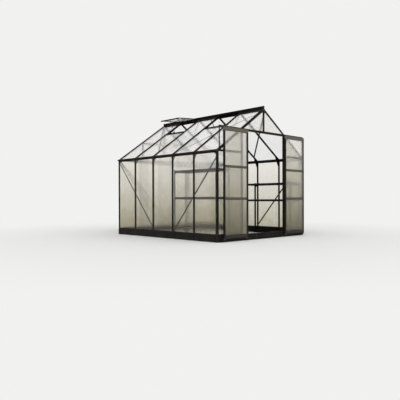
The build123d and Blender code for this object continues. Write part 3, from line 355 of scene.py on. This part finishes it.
# Corner plate nuts, as places along the house from its middle and heights, and knee plate nuts
PLATE_DEPTH = 0.0095
PLATE_NUTS = np.array([(1.5245, 1.634), (1.4825, 1.638), (1.5285, 1.590)])
KNEE_FACE = 0.011
KNEE_HEIGHTS = [1.562, 1.618]
KNEE_DOWNS = (SLOPE - 0.110, SLOPE - 0.060)
CROSS_BAR_X = [-1.270, -0.697, 0.697, 1.270]
FRONT_HEAD_X = [-0.600, -0.040, 0.040, 0.600]
REAR_HEAD_X = [-0.617, -0.040, 0.040, 0.617]
nuts = []
for side in (-1, 1):
    roof_out = roof_axes(side)[1]
    wall_x = side * (HALF_WIDTH - BRACE_DEPTH)
    for end in (-1, 1):
        top_y = MIDDLE_Y + end * BRACE_TOP_Y
        foot_y = MIDDLE_Y + end * BAY / 2
        top = np.array([wall_x, top_y, WALL_BRACE_TOP_Z])
        foot = np.array([wall_x, foot_y, BRACE_FOOT_Z])
        nuts.append(placed(NUT, top + ALONG_BRACE * (foot - top), (-side, 0, 0)))
        top = on_roof(side, ROOF_BRACE_TOP, top_y, -BRACE_DEPTH)
        foot = on_roof(side, ROOF_BRACE_FOOT, foot_y, -BRACE_DEPTH)
        nuts.append(placed(NUT, top + ALONG_BRACE * (foot - top), -roof_out))
        plate_x = np.full(len(PLATE_NUTS), side * (HALF_WIDTH - PLATE_DEPTH))
        plate_spots = np.stack([plate_x, MIDDLE_Y + end * PLATE_NUTS[:, 0], PLATE_NUTS[:, 1]], axis=1)
        nuts.append(placed(NUT, plate_spots, (-side, 0, 0)))
    top = np.array([side * GABLE_BRACE_TOP_X, REAR_GABLE - BRACE_DEPTH, GABLE_BRACE_TOP_Z])
    foot = np.array([side * GABLE_BRACE_FOOT_X, REAR_GABLE - BRACE_DEPTH, BRACE_FOOT_Z])
    nuts.append(placed(NUT, top + ALONG_BRACE * (foot - top), (0, -1, 0)))
    knee_spots = grid([side * (HALF_WIDTH - BAR_DEPTH)], BARS + KNEE_FACE, KNEE_HEIGHTS)
    nuts.append(placed(NUT, knee_spots, (0, 1, 0)))
    for down in KNEE_DOWNS:
        nuts.append(placed(NUT, on_roof(side, down, BARS + KNEE_FACE, -BAR_DEPTH), (0, 1, 0)))
for x_places, z in ((CROSS_BAR_X, EAVE_Z), (FRONT_HEAD_X, HEAD_BAR_Z)):
    nuts.append(placed(NUT, grid(x_places, [FRONT_GABLE + BAR_DEPTH], [z]), (0, 1, 0)))
for x_places, z in ((REAR_HEAD_X, HEAD_BAR_Z), (CROSS_BAR_X + REAR_HEAD_X, EAVE_Z)):
    nuts.append(placed(NUT, grid(x_places, [REAR_GABLE - BAR_DEPTH], [z]), (0, -1, 0)))
surface("frame_bolts", "greenhouse", "fittings", zinc, *nuts)


# End plates
# Moulded black plastic closures for the open ends of the gutters and of the ridge. They are pushed on
# once the bars are bolted together.

moulded_black = coated("moulded_black", (0.016, 0.016, 0.016), dust=0.35, splash=0.0, rough=0.62,
                       grain_depth=0.0003, specular=0.3)
finish_node("end_plates", moulded_black)


# Glazing
# Extruded polycarbonate with two skins and ribs between, cut so that the flutes run up the walls and down
# the roof. The ribs blur what lies behind and draw fine lines along each sheet. A faint film has settled
# on the sheets toward the ground.

# Twin wall: rib tones and swells across the flutes, draw lines along them, film that thins with height
FLUTES_PER_METRE = 95.0
DRAW_LINES_ACROSS, DRAW_LINES_ALONG = 34.0, 0.9
CLOUD_SCALE = 5.0
FILM_FADE = -0.58
sheet_tree, sheet_in, sheet_out = group(
    "twin_wall",
    [("Across", VALUE, 0.0), ("Along", VALUE, 0.0), ("Level", VALUE, 0.0),
     ("Skin", COLOUR, (0.98, 0.96, 0.93, 1)), ("Rib", COLOUR, (0.88, 0.86, 0.81, 1)),
     ("Flutes per metre", VALUE, FLUTES_PER_METRE), ("Haze", VALUE, 0.1),
     ("Film", COLOUR, (0.50, 0.48, 0.36, 1)), ("Film amount", VALUE, 0.8)],
    [("Color", COLOUR), ("Roughness", VALUE), ("Height", VALUE)])
flute = maths(sheet_tree, "MULTIPLY", sheet_in["Across"], sheet_in["Flutes per metre"])
wave = maths(sheet_tree, "SINE", maths(sheet_tree, "MULTIPLY", flute, 2 * math.pi))
swell = maths(sheet_tree, "MULTIPLY_ADD", wave, 0.5, 0.5)
rib = maths(sheet_tree, "POWER", swell, 8.0)
run = add(sheet_tree, "ShaderNodeCombineXYZ", {
    0: maths(sheet_tree, "MULTIPLY", sheet_in["Across"], DRAW_LINES_ACROSS),
    1: maths(sheet_tree, "MULTIPLY", sheet_in["Along"], DRAW_LINES_ALONG)}).outputs[0]
draw_lines = noise(sheet_tree, run, 1.0, 4.0, roughness=0.65)
cloud_run = add(sheet_tree, "ShaderNodeCombineXYZ", {0: sheet_in["Across"], 1: sheet_in["Along"]}).outputs[0]
clouds = noise(sheet_tree, cloud_run, CLOUD_SCALE, 5.0)
shade = contrast(sheet_tree, draw_lines, gain=1.5, shift=-0.55)
shade = contrast(sheet_tree, rib, gain=0.55, shift=shade)
lined = mix(sheet_tree, shade, sheet_in["Skin"], sheet_in["Rib"])
lowness = contrast(sheet_tree, sheet_in["Level"], gain=FILM_FADE, shift=1.0)
lowness = maths(sheet_tree, "POWER", lowness, 1.3)
cloudy = maths(sheet_tree, "MULTIPLY_ADD", clouds, 0.7, 0.4)
uneven = maths(sheet_tree, "MULTIPLY_ADD", draw_lines, 0.5, cloudy)
film = maths(sheet_tree, "MULTIPLY", lowness, uneven)
film = maths(sheet_tree, "MULTIPLY", film, sheet_in["Film amount"], clamp=True)
filmed = add(sheet_tree, "ShaderNodeVectorMath", {0: lined, 1: sheet_in["Film"]},
             operation="MULTIPLY").outputs[0]
haze = contrast(sheet_tree, clouds, gain=0.10, shift=sheet_in["Haze"])
sheet_tree.links.new(mix(sheet_tree, film, lined, filmed), sheet_out["Color"])
sheet_tree.links.new(haze, sheet_out["Roughness"])
sheet_tree.links.new(maths(sheet_tree, "MULTIPLY_ADD", draw_lines, 0.25, swell), sheet_out["Height"])


def fluted(name, across, along, skin, rib_tone, flute_depth, haze, clarity, film):
    """Clear twin-wall sheet whose flutes run along one object axis and repeat along another."""
    material, tree = empty_material(name)
    axes = parts(tree, object_place(tree))
    sheet = add(tree, "ShaderNodeGroup", {
        "Across": axes[across], "Along": axes[along], "Level": axes[Z_AXIS], "Skin": (*skin, 1),
        "Rib": (*rib_tone, 1), "Haze": haze, "Film amount": film}, node_tree=sheet_tree).outputs
    bump = add(tree, "ShaderNodeBump", {"Height": sheet["Height"], "Strength": 1.0, "Distance": flute_depth})
    shader = add(tree, "ShaderNodeBsdfPrincipled", {
        "Base Color": sheet["Color"], "Roughness": sheet["Roughness"], "Normal": bump.outputs[0],
        "Transmission Weight": clarity, "IOR": 1.30})
    tree.links.new(shader.outputs[0], add(tree, "ShaderNodeOutputMaterial").inputs[0])
    return material


side_sheet = fluted("side_sheet", Y_AXIS, Z_AXIS, skin=(1.0, 0.982, 0.94), rib_tone=(0.935, 0.905, 0.855),
                    flute_depth=0.00022, haze=0.05, clarity=0.955, film=0.95)
roof_sheet = fluted("roof_sheet", Y_AXIS, X_AXIS, skin=(1.0, 1.0, 0.995), rib_tone=(0.97, 0.965, 0.95),
                    flute_depth=0.00004, haze=0.04, clarity=0.985, film=0.3)
gable_sheet = fluted("gable_sheet", X_AXIS, Z_AXIS, skin=(0.985, 0.97, 0.94), rib_tone=(0.90, 0.885, 0.84),
                     flute_depth=0.00005, haze=0.07, clarity=0.95, film=0.7)
leaf_sheet = fluted("leaf_sheet", X_AXIS, Z_AXIS, skin=(0.955, 0.940, 0.875), rib_tone=(0.84, 0.82, 0.76),
                    flute_depth=0.00014, haze=0.34, clarity=0.88, film=1.0)
for side in ("left", "right"):
    finish_node("wall_sheets_" + side, side_sheet)
    finish_node("roof_sheets_" + side, roof_sheet)
    finish_node("door_" + side + "_sheets", leaf_sheet)
for end in ("front", "rear"):
    finish_node(end + "_gable_sheets", gable_sheet)
finish_node("vent_sheets", roof_sheet)


# Glazing beads
# Black rubber beads are pressed between the sheets and the lips of the bars, outside and inside, and run
# with mitred corners round each opening.

BEAD = np.array([(-0.0006, 0.0), (0.0042, 0.0), (0.0037, 0.0015), (0.0021, 0.0031), (-0.0006, 0.0034)])
HALF_BAR = 0.015
HALF_SHEET = 0.003
BAY_STARTS = np.array([FRONT_GABLE + BAR_DEPTH, *(BARS + HALF_BAR)])
BAY_ENDS = np.array([*(BARS - HALF_BAR), REAR_GABLE - BAR_DEPTH])
SILL_LIP, EAVE_LIP = 0.145, 1.634
RIDGE_LIP = 0.036
# Height of the rakes' lower edges over the middle of the house, and how fast they fall toward the walls
UNDER_RAKE = 2.5477
FALL = SIN / COS


def framed(corners, normal, outline):
    """Mitred frame round flat openings (copies x corners x 3): x runs inwards along each corner's mitre and
    y along the normal. The mitre is the sum of two inward directions over one plus their product."""
    corners = np.array(corners, dtype=float)
    normal = np.array(normal, dtype=float)
    along = np.roll(corners, -1, axis=1) - corners
    along /= np.linalg.norm(along, axis=2, keepdims=True)
    inward = np.cross(normal, along)
    earlier = np.roll(inward, 1, axis=1)
    mitre = (inward + earlier) / (1 + np.sum(inward * earlier, axis=2, keepdims=True))
    to_middle = corners.mean(axis=1, keepdims=True) - corners
    mitre *= np.sign(np.sum(mitre * to_middle, axis=(1, 2), keepdims=True))
    return corners[:, :, None] + outline[:, :1] * mitre[:, :, None] + outline[:, 1:] * normal


def oblongs(origin, first, second, a0, a1, b0, b1):
    """Corners of oblongs in a plane: origin plus a along the first direction and b along the second."""
    a = np.stack(np.broadcast_arrays(a0, a1, a1, a0), axis=-1)[..., None]
    b = np.stack(np.broadcast_arrays(b0, b0, b1, b1), axis=-1)[..., None]
    return np.array(origin) + a * np.array(first) + b * np.array(second)


def oblong_pane(x0, x1, z0, z1):
    """Corners of an upright oblong pane, as x and z."""
    return [(x0, z0), (x1, z0), (x1, z1), (x0, z1)]


def raked_pane(x0, z0, top):
    """Corners of a three-sided pane under the rake: its foot runs from x0 out to the rake at the height z0,
    and its upright side from there up to top."""
    return [(x0, z0), ((UNDER_RAKE - z0) / FALL, z0), (x0, top)]


rubber = coated("rubber", (0.010, 0.010, 0.009), dust=0.08, splash=0.10, rough=0.75, grain_depth=0.0001,
                specular=0.10)
beads = []
for side in (-1, 1):
    for face in (-1, 1):
        origin = (side * (HALF_WIDTH + face * HALF_SHEET), 0, 0)
        corners = oblongs(origin, (0, 1, 0), (0, 0, 1), BAY_STARTS, BAY_ENDS, SILL_LIP, EAVE_LIP)
        beads.append(framed(corners, (side * face, 0, 0), BEAD))
DOOR_POST_X = 0.657
OUTER, INNER = DOOR_POST_X + HALF_BAR, DOOR_POST_X - HALF_BAR
WALL_SIDE = HALF_WIDTH - BAR_DEPTH
UNDER_EAVE, OVER_EAVE = EAVE_Z - HALF_BAR, EAVE_Z + HALF_BAR
UNDER_HEAD, OVER_HEAD = HEAD_BAR_Z - HALF_BAR, HEAD_BAR_Z + HALF_BAR
PANE_PEAK = 2.531
both_gables = [oblong_pane(OUTER, WALL_SIDE, SILL_LIP, UNDER_EAVE),
               raked_pane(OUTER, OVER_EAVE, UNDER_RAKE - OUTER * FALL),
               raked_pane(HALF_BAR, OVER_HEAD, PANE_PEAK)]
rear_only = [oblong_pane(HALF_BAR, INNER, SILL_LIP, UNDER_EAVE),
             oblong_pane(HALF_BAR, INNER, OVER_EAVE, UNDER_HEAD)]
for gable, panes in ((FRONT_GABLE, both_gables), (REAR_GABLE, both_gables + rear_only)):
    for face in (-1, 1):
        for pane in panes:
            flat = np.array(pane)
            level = np.full(len(flat), gable + face * HALF_SHEET)
            pair = [np.stack([side * flat[:, 0], level, flat[:, 1]], axis=1) for side in (-1, 1)]
            beads.append(framed(pair, (0, face, 0), BEAD))
for side in (-1, 1):
    down, out = roof_axes(side)
    inside = on_roof(side, 0.0, 0.0, -HALF_SHEET)
    corners = oblongs(inside, (0, 1, 0), down, BAY_STARTS, BAY_ENDS, RIDGE_LIP, SLOPE - RIDGE_LIP)
    beads.append(framed(corners, -out, BEAD))
surface("glazing_beads", "greenhouse", "glazing", rubber, *beads, closed=True)


# Roof beads and end profiles
# On the outside of the roof the beads run down beside the bars and across under the ridge or the vent
# sills. The open end of each sheet over the gutter is closed with a black folded aluminium profile.

END_PROFILE = np.array([(-0.014, 0.0032), (-0.014, 0.0042), (0.0008, 0.0042), (0.0014, 0.0036),
                        (0.0014, -0.0036), (0.0008, -0.0042), (-0.014, -0.0042), (-0.014, -0.0032),
                        (0.0003, -0.0032), (0.0003, 0.0032)])
UNDER_RIDGE, UNDER_SILL = 0.032, 0.560
VENT_BAYS = [1, 3]
PROFILE_DEPTH = 0.014
PROFILE_PLAY = 0.0005
runs, profiles = [], []
for side in (-1, 1):
    down, out = roof_axes(side)
    heads = np.full(len(BAY_STARTS), UNDER_RIDGE)
    if side < 0:
        heads[VENT_BAYS] = UNDER_SILL
    for edge, inward in ((BAY_STARTS, 1), (BAY_ENDS, -1)):
        high = on_roof(side, heads, edge, HALF_SHEET)
        low = on_roof(side, TAIL - PROFILE_DEPTH, edge, HALF_SHEET)
        runs.append(drawn(BEAD, high, low, (0, inward, 0), out))
    starts = on_roof(side, heads, BAY_STARTS, HALF_SHEET)
    ends = on_roof(side, heads, BAY_ENDS, HALF_SHEET)
    runs.append(drawn(BEAD, starts, ends, down, out))
    starts = on_roof(side, TAIL, BAY_STARTS + PROFILE_PLAY, 0.0)
    ends = on_roof(side, TAIL, BAY_ENDS - PROFILE_PLAY, 0.0)
    profiles.append(drawn(END_PROFILE, starts, ends, down, out))
surface("roof_beads", "greenhouse", "glazing", rubber, *runs)
surface("sheet_ends", "greenhouse", "frame_coat", powder_coat, *profiles)


# Vents
# Slim aluminium frames in a dead matt black coat, hooked into the ridge, with a folded weather lip under
# the free edge that laps the sill when the vent is shut. Rubber beads seal each sheet in its frame,
# blackened screws hold the frame's corners, and pins join the stays to their lugs.

vent_coat = coated("vent_coat", (0.0070, 0.0062, 0.0050), dust=0.03, splash=0.0, rough=0.80,
                   grain_depth=0.00025, specular=0.02)
finish_node("vent_frames", vent_coat)
# Both vents turn about one hinge line. Reaches are measured from it, along a vent and out of its plane
HINGE = np.array([-0.014, 0.0, 2.605])
FRONT_TILT = math.radians(13.0)
REAR_TILT = math.radians(3.8)
VENT_PLAY = 0.005
VENT_REACH = 0.600
VENT_BAR = 0.022
PANE_START, PANE_END = 0.033, VENT_REACH - VENT_BAR
FRAME_TOP = 0.008
LUG_UNDER = 0.014
HALF_LUG = 0.008
SILL_LUG_DOWN, SILL_LUG_OUT = 0.5525, 0.0125
LIP = np.array([(-0.0005, 0.0075), (0.0015, 0.0075), (0.0015, -0.0170), (0.0032, -0.0205), (0.0022, -0.0212),
                (0.0003, -0.0175), (-0.0005, -0.0120)])
vent_beads, vent_screws, lips = [], [], []
for tilt, first_bar, last_bar in ((FRONT_TILT, BARS[0], BARS[1]), (REAR_TILT, BARS[2], BARS[3])):
    y0 = first_bar + VENT_PLAY
    y1 = last_bar - VENT_PLAY
    away = np.array([-math.cos(tilt), 0.0, -math.sin(tilt)])
    lift = np.array([-math.sin(tilt), 0.0, math.cos(tilt)])
    for face in (-1, 1):
        origin = HINGE + face * HALF_SHEET * lift
        pane = oblongs(origin, (0, 1, 0), away, [y0 + VENT_BAR], [y1 - VENT_BAR], PANE_START, PANE_END)
        vent_beads.append(framed(pane, face * lift, BEAD))
    edge = HINGE + VENT_REACH * away
    lips.append(drawn(LIP, edge + (0, y0, 0), edge + (0, y1, 0), away, lift))
    reaches = [VENT_BAR, VENT_REACH - VENT_BAR / 2]
    corners = grid(reaches, [y0 + VENT_BAR / 2, y1 - VENT_BAR / 2], [FRAME_TOP])
    vent_screws.append(placed(SCREW, HINGE + corners @ np.array([away, (0, 1, 0), lift]), lift))
    frame_lug = HINGE + reaches[1] * away - LUG_UNDER * lift
    lugs = np.array([frame_lug, on_roof(-1, SILL_LUG_DOWN, 0.0, SILL_LUG_OUT)])
    for facing in (-1, 1):
        pins = lugs + (0, (y0 + y1) / 2 + facing * HALF_LUG, 0)
        vent_screws.append(placed(SCREW, pins, (0, facing, 0)))
surface("vent_beads", "greenhouse", "glazing", rubber, *vent_beads, closed=True)
surface("vent_screws", "greenhouse", "fittings", blackened, *vent_screws)
surface("vent_lips", "greenhouse", "frame_coat", vent_coat, *lips)


# Door leaves
# Hollow aluminium stiles and rails, screwed at the corners. They hang from nylon wheels on the track,
# and slotted nylon shoes at the foot keep them on the guide rail.

leaf_coat = coated("leaf_coat", (0.0100, 0.0088, 0.0070), dust=0.10, splash=0.12, rough=0.48,
                   grain_depth=0.00025, specular=0.09)
nylon = coated("nylon", (0.020, 0.020, 0.020), dust=0.25, splash=0.35, rough=0.55, grain_depth=0.0002)

# Band: 1 inside a stretch of one axis and 0 outside it, from the distance to the stretch's middle
band_tree, band_in, band_out = group(
    "band", [("Place", VALUE, 0.0), ("Low", VALUE, 0.0), ("High", VALUE, 1.0)], [("Inside", VALUE)])
middle = maths(band_tree, "MULTIPLY", maths(band_tree, "ADD", band_in["Low"], band_in["High"]), 0.5)
reach = maths(band_tree, "MULTIPLY", maths(band_tree, "SUBTRACT", band_in["High"], band_in["Low"]), 0.5)
band_tree.links.new(maths(band_tree, "COMPARE", band_in["Place"], middle, reach), band_out["Inside"])

# Widths of stiles and rails, the middle rails' heights, and the painted light on each rail: a paler tone for
# the light it catches
STILE = 0.038
TOP_RAIL = 0.068
BOTTOM_RAIL = 0.060
MID_RAIL = 0.038
MID_RAIL_HEIGHTS = (0.794, 1.385)
MID_RAIL_PAINTED_LIGHT = (0.094, 0.086, 0.066, 1)
BOTTOM_RAIL_PAINTED_LIGHT = (0.040, 0.036, 0.027, 1)
COVER_PAINTED_LIGHT = (0.122, 0.113, 0.090, 1)
BOTTOM_BAND = BOTTOM_RAIL + 0.04
COVER_MARGIN = 0.01


def band(tree, place, low, high):
    """Output of a band between two places."""
    feeds = {"Place": place, "Low": low, "High": high}
    return add(tree, "ShaderNodeGroup", feeds, node_tree=band_tree).outputs[0]


def leaf_finish(name, node):
    """Leaf coat with painted light on the rails: bands of height drawn paler, and all but the top cover's end
    at the stiles.
    """
    low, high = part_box(node)
    material = leaf_coat.copy()
    material.name = name
    tree = material.node_tree
    shader = shader_of(material)
    axes = parts(tree, object_place(tree))
    between = band(tree, axes[X_AXIS], low[X_AXIS] + STILE, high[X_AXIS] - STILE)
    # Painted light: the middle and bottom rails and the top cover are drawn paler than the black coat, as
    # faces that catch the light.
    rails = [(z - MID_RAIL / 2, z + MID_RAIL / 2, MID_RAIL_PAINTED_LIGHT) for z in MID_RAIL_HEIGHTS]
    rails.append((low[Z_AXIS], low[Z_AXIS] + BOTTOM_BAND, BOTTOM_RAIL_PAINTED_LIGHT))
    tone = shader.inputs["Base Color"].links[0].from_socket
    for start, end, rail_painted_light in rails:
        rail = maths(tree, "MULTIPLY", between, band(tree, axes[Z_AXIS], start, end))
        tone = mix(tree, rail, tone, rail_painted_light)
    cover = band(tree, axes[Z_AXIS], high[Z_AXIS] - TOP_RAIL, high[Z_AXIS] + COVER_MARGIN)
    tree.links.new(mix(tree, cover, tone, COVER_PAINTED_LIGHT), shader.inputs["Base Color"])
    finish_node(node, material)


for side in ("left", "right"):
    leaf_finish("leaf_coat_" + side, "door_" + side + "_frame")
    finish_node("door_" + side + "_runners", nylon)


# Leaf screws and beads
# Blackened screws fix the rails between the stiles, two at the foot and head of a stile and one at each
# middle rail. Low rubber beads seal the three sheets of a leaf on both faces.

LEAF_FACE = -1.5875
COVER_FACE = -1.5895
SHEET_FACES = ((-1.5850, -1), (-1.5790, 1))
FOOT_SCREWS = (0.016, 0.044)
HEAD_SCREWS = (0.050, 0.018)
FLAT_BEAD = BEAD * (1.0, 0.62)
for side in ("left", "right"):
    low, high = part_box("door_" + side + "_frame")
    stiles = [low[X_AXIS] + STILE / 2, high[X_AXIS] - STILE / 2]
    low_heights = [*(low[Z_AXIS] + rise for rise in FOOT_SCREWS), *MID_RAIL_HEIGHTS]
    high_heights = [high[Z_AXIS] - fall for fall in HEAD_SCREWS]
    screws = [placed(SCREW, grid(stiles, [LEAF_FACE], low_heights), (0, -1, 0)),
              placed(SCREW, grid(stiles, [COVER_FACE], high_heights), (0, -1, 0))]
    surface("leaf_screws_" + side, "door_" + side, "fittings", blackened, *screws)
    feet = np.array([low[Z_AXIS] + BOTTOM_RAIL, *(z + MID_RAIL / 2 for z in MID_RAIL_HEIGHTS)])
    heads = np.array([*(z - MID_RAIL / 2 for z in MID_RAIL_HEIGHTS), high[Z_AXIS] - TOP_RAIL])
    x0, x1 = low[X_AXIS] + STILE, high[X_AXIS] - STILE
    beads = []
    for y, face in SHEET_FACES:
        corners = oblongs((0, y, 0), (1, 0, 0), (0, 0, 1), x0, x1, feet, heads)
        beads.append(framed(corners, (0, face, 0), FLAT_BEAD))
    surface("leaf_beads_" + side, "door_" + side, "glazing", rubber, *beads, closed=True)


# Door track and the fittings of track and guide rail
# The track is a hooded aluminium extrusion, dulled by weather. Screws hold it to the gable and the guide
# rail to the base. Moulded buffers in its ends and middle stop the wheels before the leaves meet anything.

track_coat = coated("track_coat", (0.0240, 0.0210, 0.0165), dust=0.12, splash=0.0, rough=0.52,
                    grain_depth=0.00025, specular=0.09)
finish_node("door_track", track_coat)
TRACK_FACE, TRACK_SCREW_Z = -1.5350, 2.1183
GUIDE_FACE, GUIDE_SCREW_Z = -1.5385, 0.053
SCREW_X = np.arange(-1.2, 1.3, 0.3)
screws = [placed(SCREW, grid(SCREW_X, [TRACK_FACE], [TRACK_SCREW_Z]), (0, -1, 0)),
          placed(SCREW, grid(SCREW_X, [GUIDE_FACE], [GUIDE_SCREW_Z]), (0, -1, 0))]
surface("track_screws", "greenhouse", "fittings", blackened, *screws)
BUFFER = np.array([(0.0, 0.004), (0.0025, 0.0015), (0.017, 0.0015), (0.0195, 0.004),
                   (0.0195, 0.034), (0.017, 0.0365), (0.0025, 0.0365), (0.0, 0.034)])
BUFFER_Z = 2.0853
BUFFER_STARTS = [-1.301, -0.018, 1.288]
BUFFER_LENGTHS = np.array([0.013, 0.036, 0.013])
starts = grid(BUFFER_STARTS, [TRACK_FACE], [BUFFER_Z])
ends = starts + BUFFER_LENGTHS[:, None] * (1, 0, 0)
buffers = drawn(BUFFER, starts, ends, (0, -1, 0), (0, 0, 1))
surface("track_buffers", "greenhouse", "end_plastic", moulded_plug, buffers)


# Shelf units
# Two folded steel trays each, on angle legs, stove enamelled in satin black. Tabs at the back of the
# trays are bolted to the wall bars.

satin_enamel = coated("satin_enamel", (0.008, 0.0075, 0.007), dust=0.2, splash=0.1, rough=0.38,
                      grain_depth=0.0002, specular=0.15)
for side in ("left", "right"):
    finish_node("shelf_" + side, satin_enamel)


# Shelf ribs, screws and feet
# Three long ribs are pressed into the top of each tray. The tray is screwed to its angle legs from the
# aisle and from the ends, and moulded feet keep the legs off the ground.

FOOT = np.array([(-0.0016, -0.0016), (0.0296, -0.0016), (0.0296, 0.0036), (0.0036, 0.0036),
                 (0.0036, 0.0296), (-0.0016, 0.0296)])
FOOT_LOW, FOOT_HIGH = 0.0005, 0.022
AISLE_X, WALL_X = 0.960, 1.300
FRONT_LEGS = -1.473
# Each unit's side, the place of its rear legs along the house, and the heights of its trays' middles
LEFT_UNIT = (-1, -0.303, (0.805, 1.330))
RIGHT_UNIT = (1, -0.223, (0.755, 1.120))
LEG_SCREW = 0.016
TRAY_SCREW = 0.012
HALF_TRAY = 0.022
RIB_X = (1.050, 1.130, 1.210)
RIB_HALF, RIB_HEIGHT, RIB_SUNK = 0.008, 0.0034, 0.0004
# A rib is half an ellipse that swells to its full size over the first places from a tray's end
FROM_TRAY_END = np.array([0.060, 0.066, 0.076])
RIB_RISE = np.array([0.20, 0.75, 1.0, 1.0, 0.75, 0.20])[:, None]
half_turn = np.linspace(0, np.pi, 9)
RIB = np.stack([RIB_HALF * np.cos(half_turn), RIB_HEIGHT * np.sin(half_turn) - RIB_SUNK], axis=1)
screws, feet, ribs = [], [], []
for side, rear_legs, trays in (LEFT_UNIT, RIGHT_UNIT):
    heights = [z + step * TRAY_SCREW for z in trays for step in (-1, 1)]
    aisle = grid([side * AISLE_X], [FRONT_LEGS + LEG_SCREW, rear_legs - LEG_SCREW], heights)
    screws.append(placed(SCREW, aisle, (-side, 0, 0)))
    leg_x = [side * (AISLE_X + LEG_SCREW), side * (WALL_X - LEG_SCREW)]
    for y, outward in ((FRONT_LEGS, -1), (rear_legs, 1)):
        screws.append(placed(SCREW, grid(leg_x, [y], heights), (0, outward, 0)))
    along = np.concatenate([FRONT_LEGS + FROM_TRAY_END, rear_legs - FROM_TRAY_END[::-1]])[:, None]
    tops = grid([side * x for x in RIB_X], [0.0], np.array(trays) + HALF_TRAY)[:, :, None, None]
    rib_x = tops[:, 0] + RIB_RISE * RIB[:, 0]
    rib_z = tops[:, 2] + RIB_RISE * RIB[:, 1]
    ribs.append(np.stack(np.broadcast_arrays(rib_x, along, rib_z), axis=-1))
    for x, x_in in ((side * AISLE_X, side), (side * WALL_X, -side)):
        for y, y_in in ((FRONT_LEGS, 1), (rear_legs, -1)):
            feet.append(drawn(FOOT, (x, y, FOOT_LOW), (x, y, FOOT_HIGH), (x_in, 0, 0), (0, y_in, 0)))
surface("shelf_screws", "greenhouse", "fittings", blackened, *screws)
surface("shelf_feet", "greenhouse", "end_plastic", moulded_plug, *feet)
surface("tray_ribs", "greenhouse", "shelf_coat", satin_enamel, *ribs)


# Floor, light and camera
# A plain pale floor that fades into the backdrop, and one large soft sky, brighter from above and in
# front. The camera sees the backdrop's even tone in its place.

BACKDROP = (0.88, 0.88, 0.875, 1)
PALE = (0.90, 0.90, 0.89, 1)
FLOOR_HALF = 60.0
FADE_START, FADE_END = 2.5, 7.5
mesh = bpy.data.meshes.new("floor")
mesh.from_pydata([(-FLOOR_HALF, -FLOOR_HALF, 0), (FLOOR_HALF, -FLOOR_HALF, 0), (FLOOR_HALF, FLOOR_HALF, 0),
                  (-FLOOR_HALF, FLOOR_HALF, 0)], [], [(0, 1, 2, 3)])
floor = bpy.data.objects.new("floor", mesh)
bpy.context.scene.collection.objects.link(floor)
floor_material, tree = empty_material("pale_floor")
distance = add(tree, "ShaderNodeVectorMath", {0: object_place(tree)}, operation="LENGTH").outputs["Value"]
faded = add(tree, "ShaderNodeMapRange", {0: distance, 1: FADE_START, 2: FADE_END},
            interpolation_type="SMOOTHSTEP").outputs[0]
pale = add(tree, "ShaderNodeBsdfDiffuse", {0: PALE})
glow = add(tree, "ShaderNodeEmission", {0: BACKDROP, 1: 1.0})
blend = add(tree, "ShaderNodeMixShader", {0: faded, 1: pale.outputs[0], 2: glow.outputs[0]})
tree.links.new(blend.outputs[0], add(tree, "ShaderNodeOutputMaterial").inputs[0])
floor.data.materials.append(floor_material)

BRIGHTEST = (-0.30, -0.60, 0.74)
SKY_LEVEL = 0.5
world = bpy.data.worlds.new("studio")
bpy.context.scene.world = world
world.use_nodes = True
tree = world.node_tree
tree.nodes.clear()
rays = add(tree, "ShaderNodeLightPath").outputs
mirrored = maths(tree, "MAXIMUM", rays["Is Glossy Ray"], rays["Is Transmission Ray"])
seen = maths(tree, "MAXIMUM", rays["Is Camera Ray"], mirrored)
direction = add(tree, "ShaderNodeTexCoord").outputs["Generated"]
toward = add(tree, "ShaderNodeVectorMath", {0: direction, 1: BRIGHTEST},
             operation="DOT_PRODUCT").outputs["Value"]
lit = maths(tree, "ADD", maths(tree, "MAXIMUM", toward, 0.0), SKY_LEVEL)
strength = add(tree, "ShaderNodeMix", {0: seen, 2: lit, 3: 1.0}, data_type="FLOAT").outputs[0]
sky = add(tree, "ShaderNodeBackground", {0: BACKDROP, 1: strength})
tree.links.new(sky.outputs[0], add(tree, "ShaderNodeOutputWorld").inputs[0])

# The camera stands where the photo was taken from, found from the lines of the frame
YAW, PITCH, ROLL = 0.76448, -0.00462, 0.00295
camera_data = bpy.data.cameras.new("camera")
camera_data.sensor_width = 36.0
camera_data.lens = 42.903
camera_data.shift_y = 0.00375
camera_data.clip_end = 300.0
camera = bpy.data.objects.new("camera", camera_data)
bpy.context.scene.collection.objects.link(camera)
camera.location = (-7.4967, -7.5024, 0.7835)
camera.rotation_euler = (math.pi / 2 + PITCH, ROLL, -YAW)
bpy.context.scene.camera = camera

bpy.context.scene.view_settings.view_transform = "Standard"
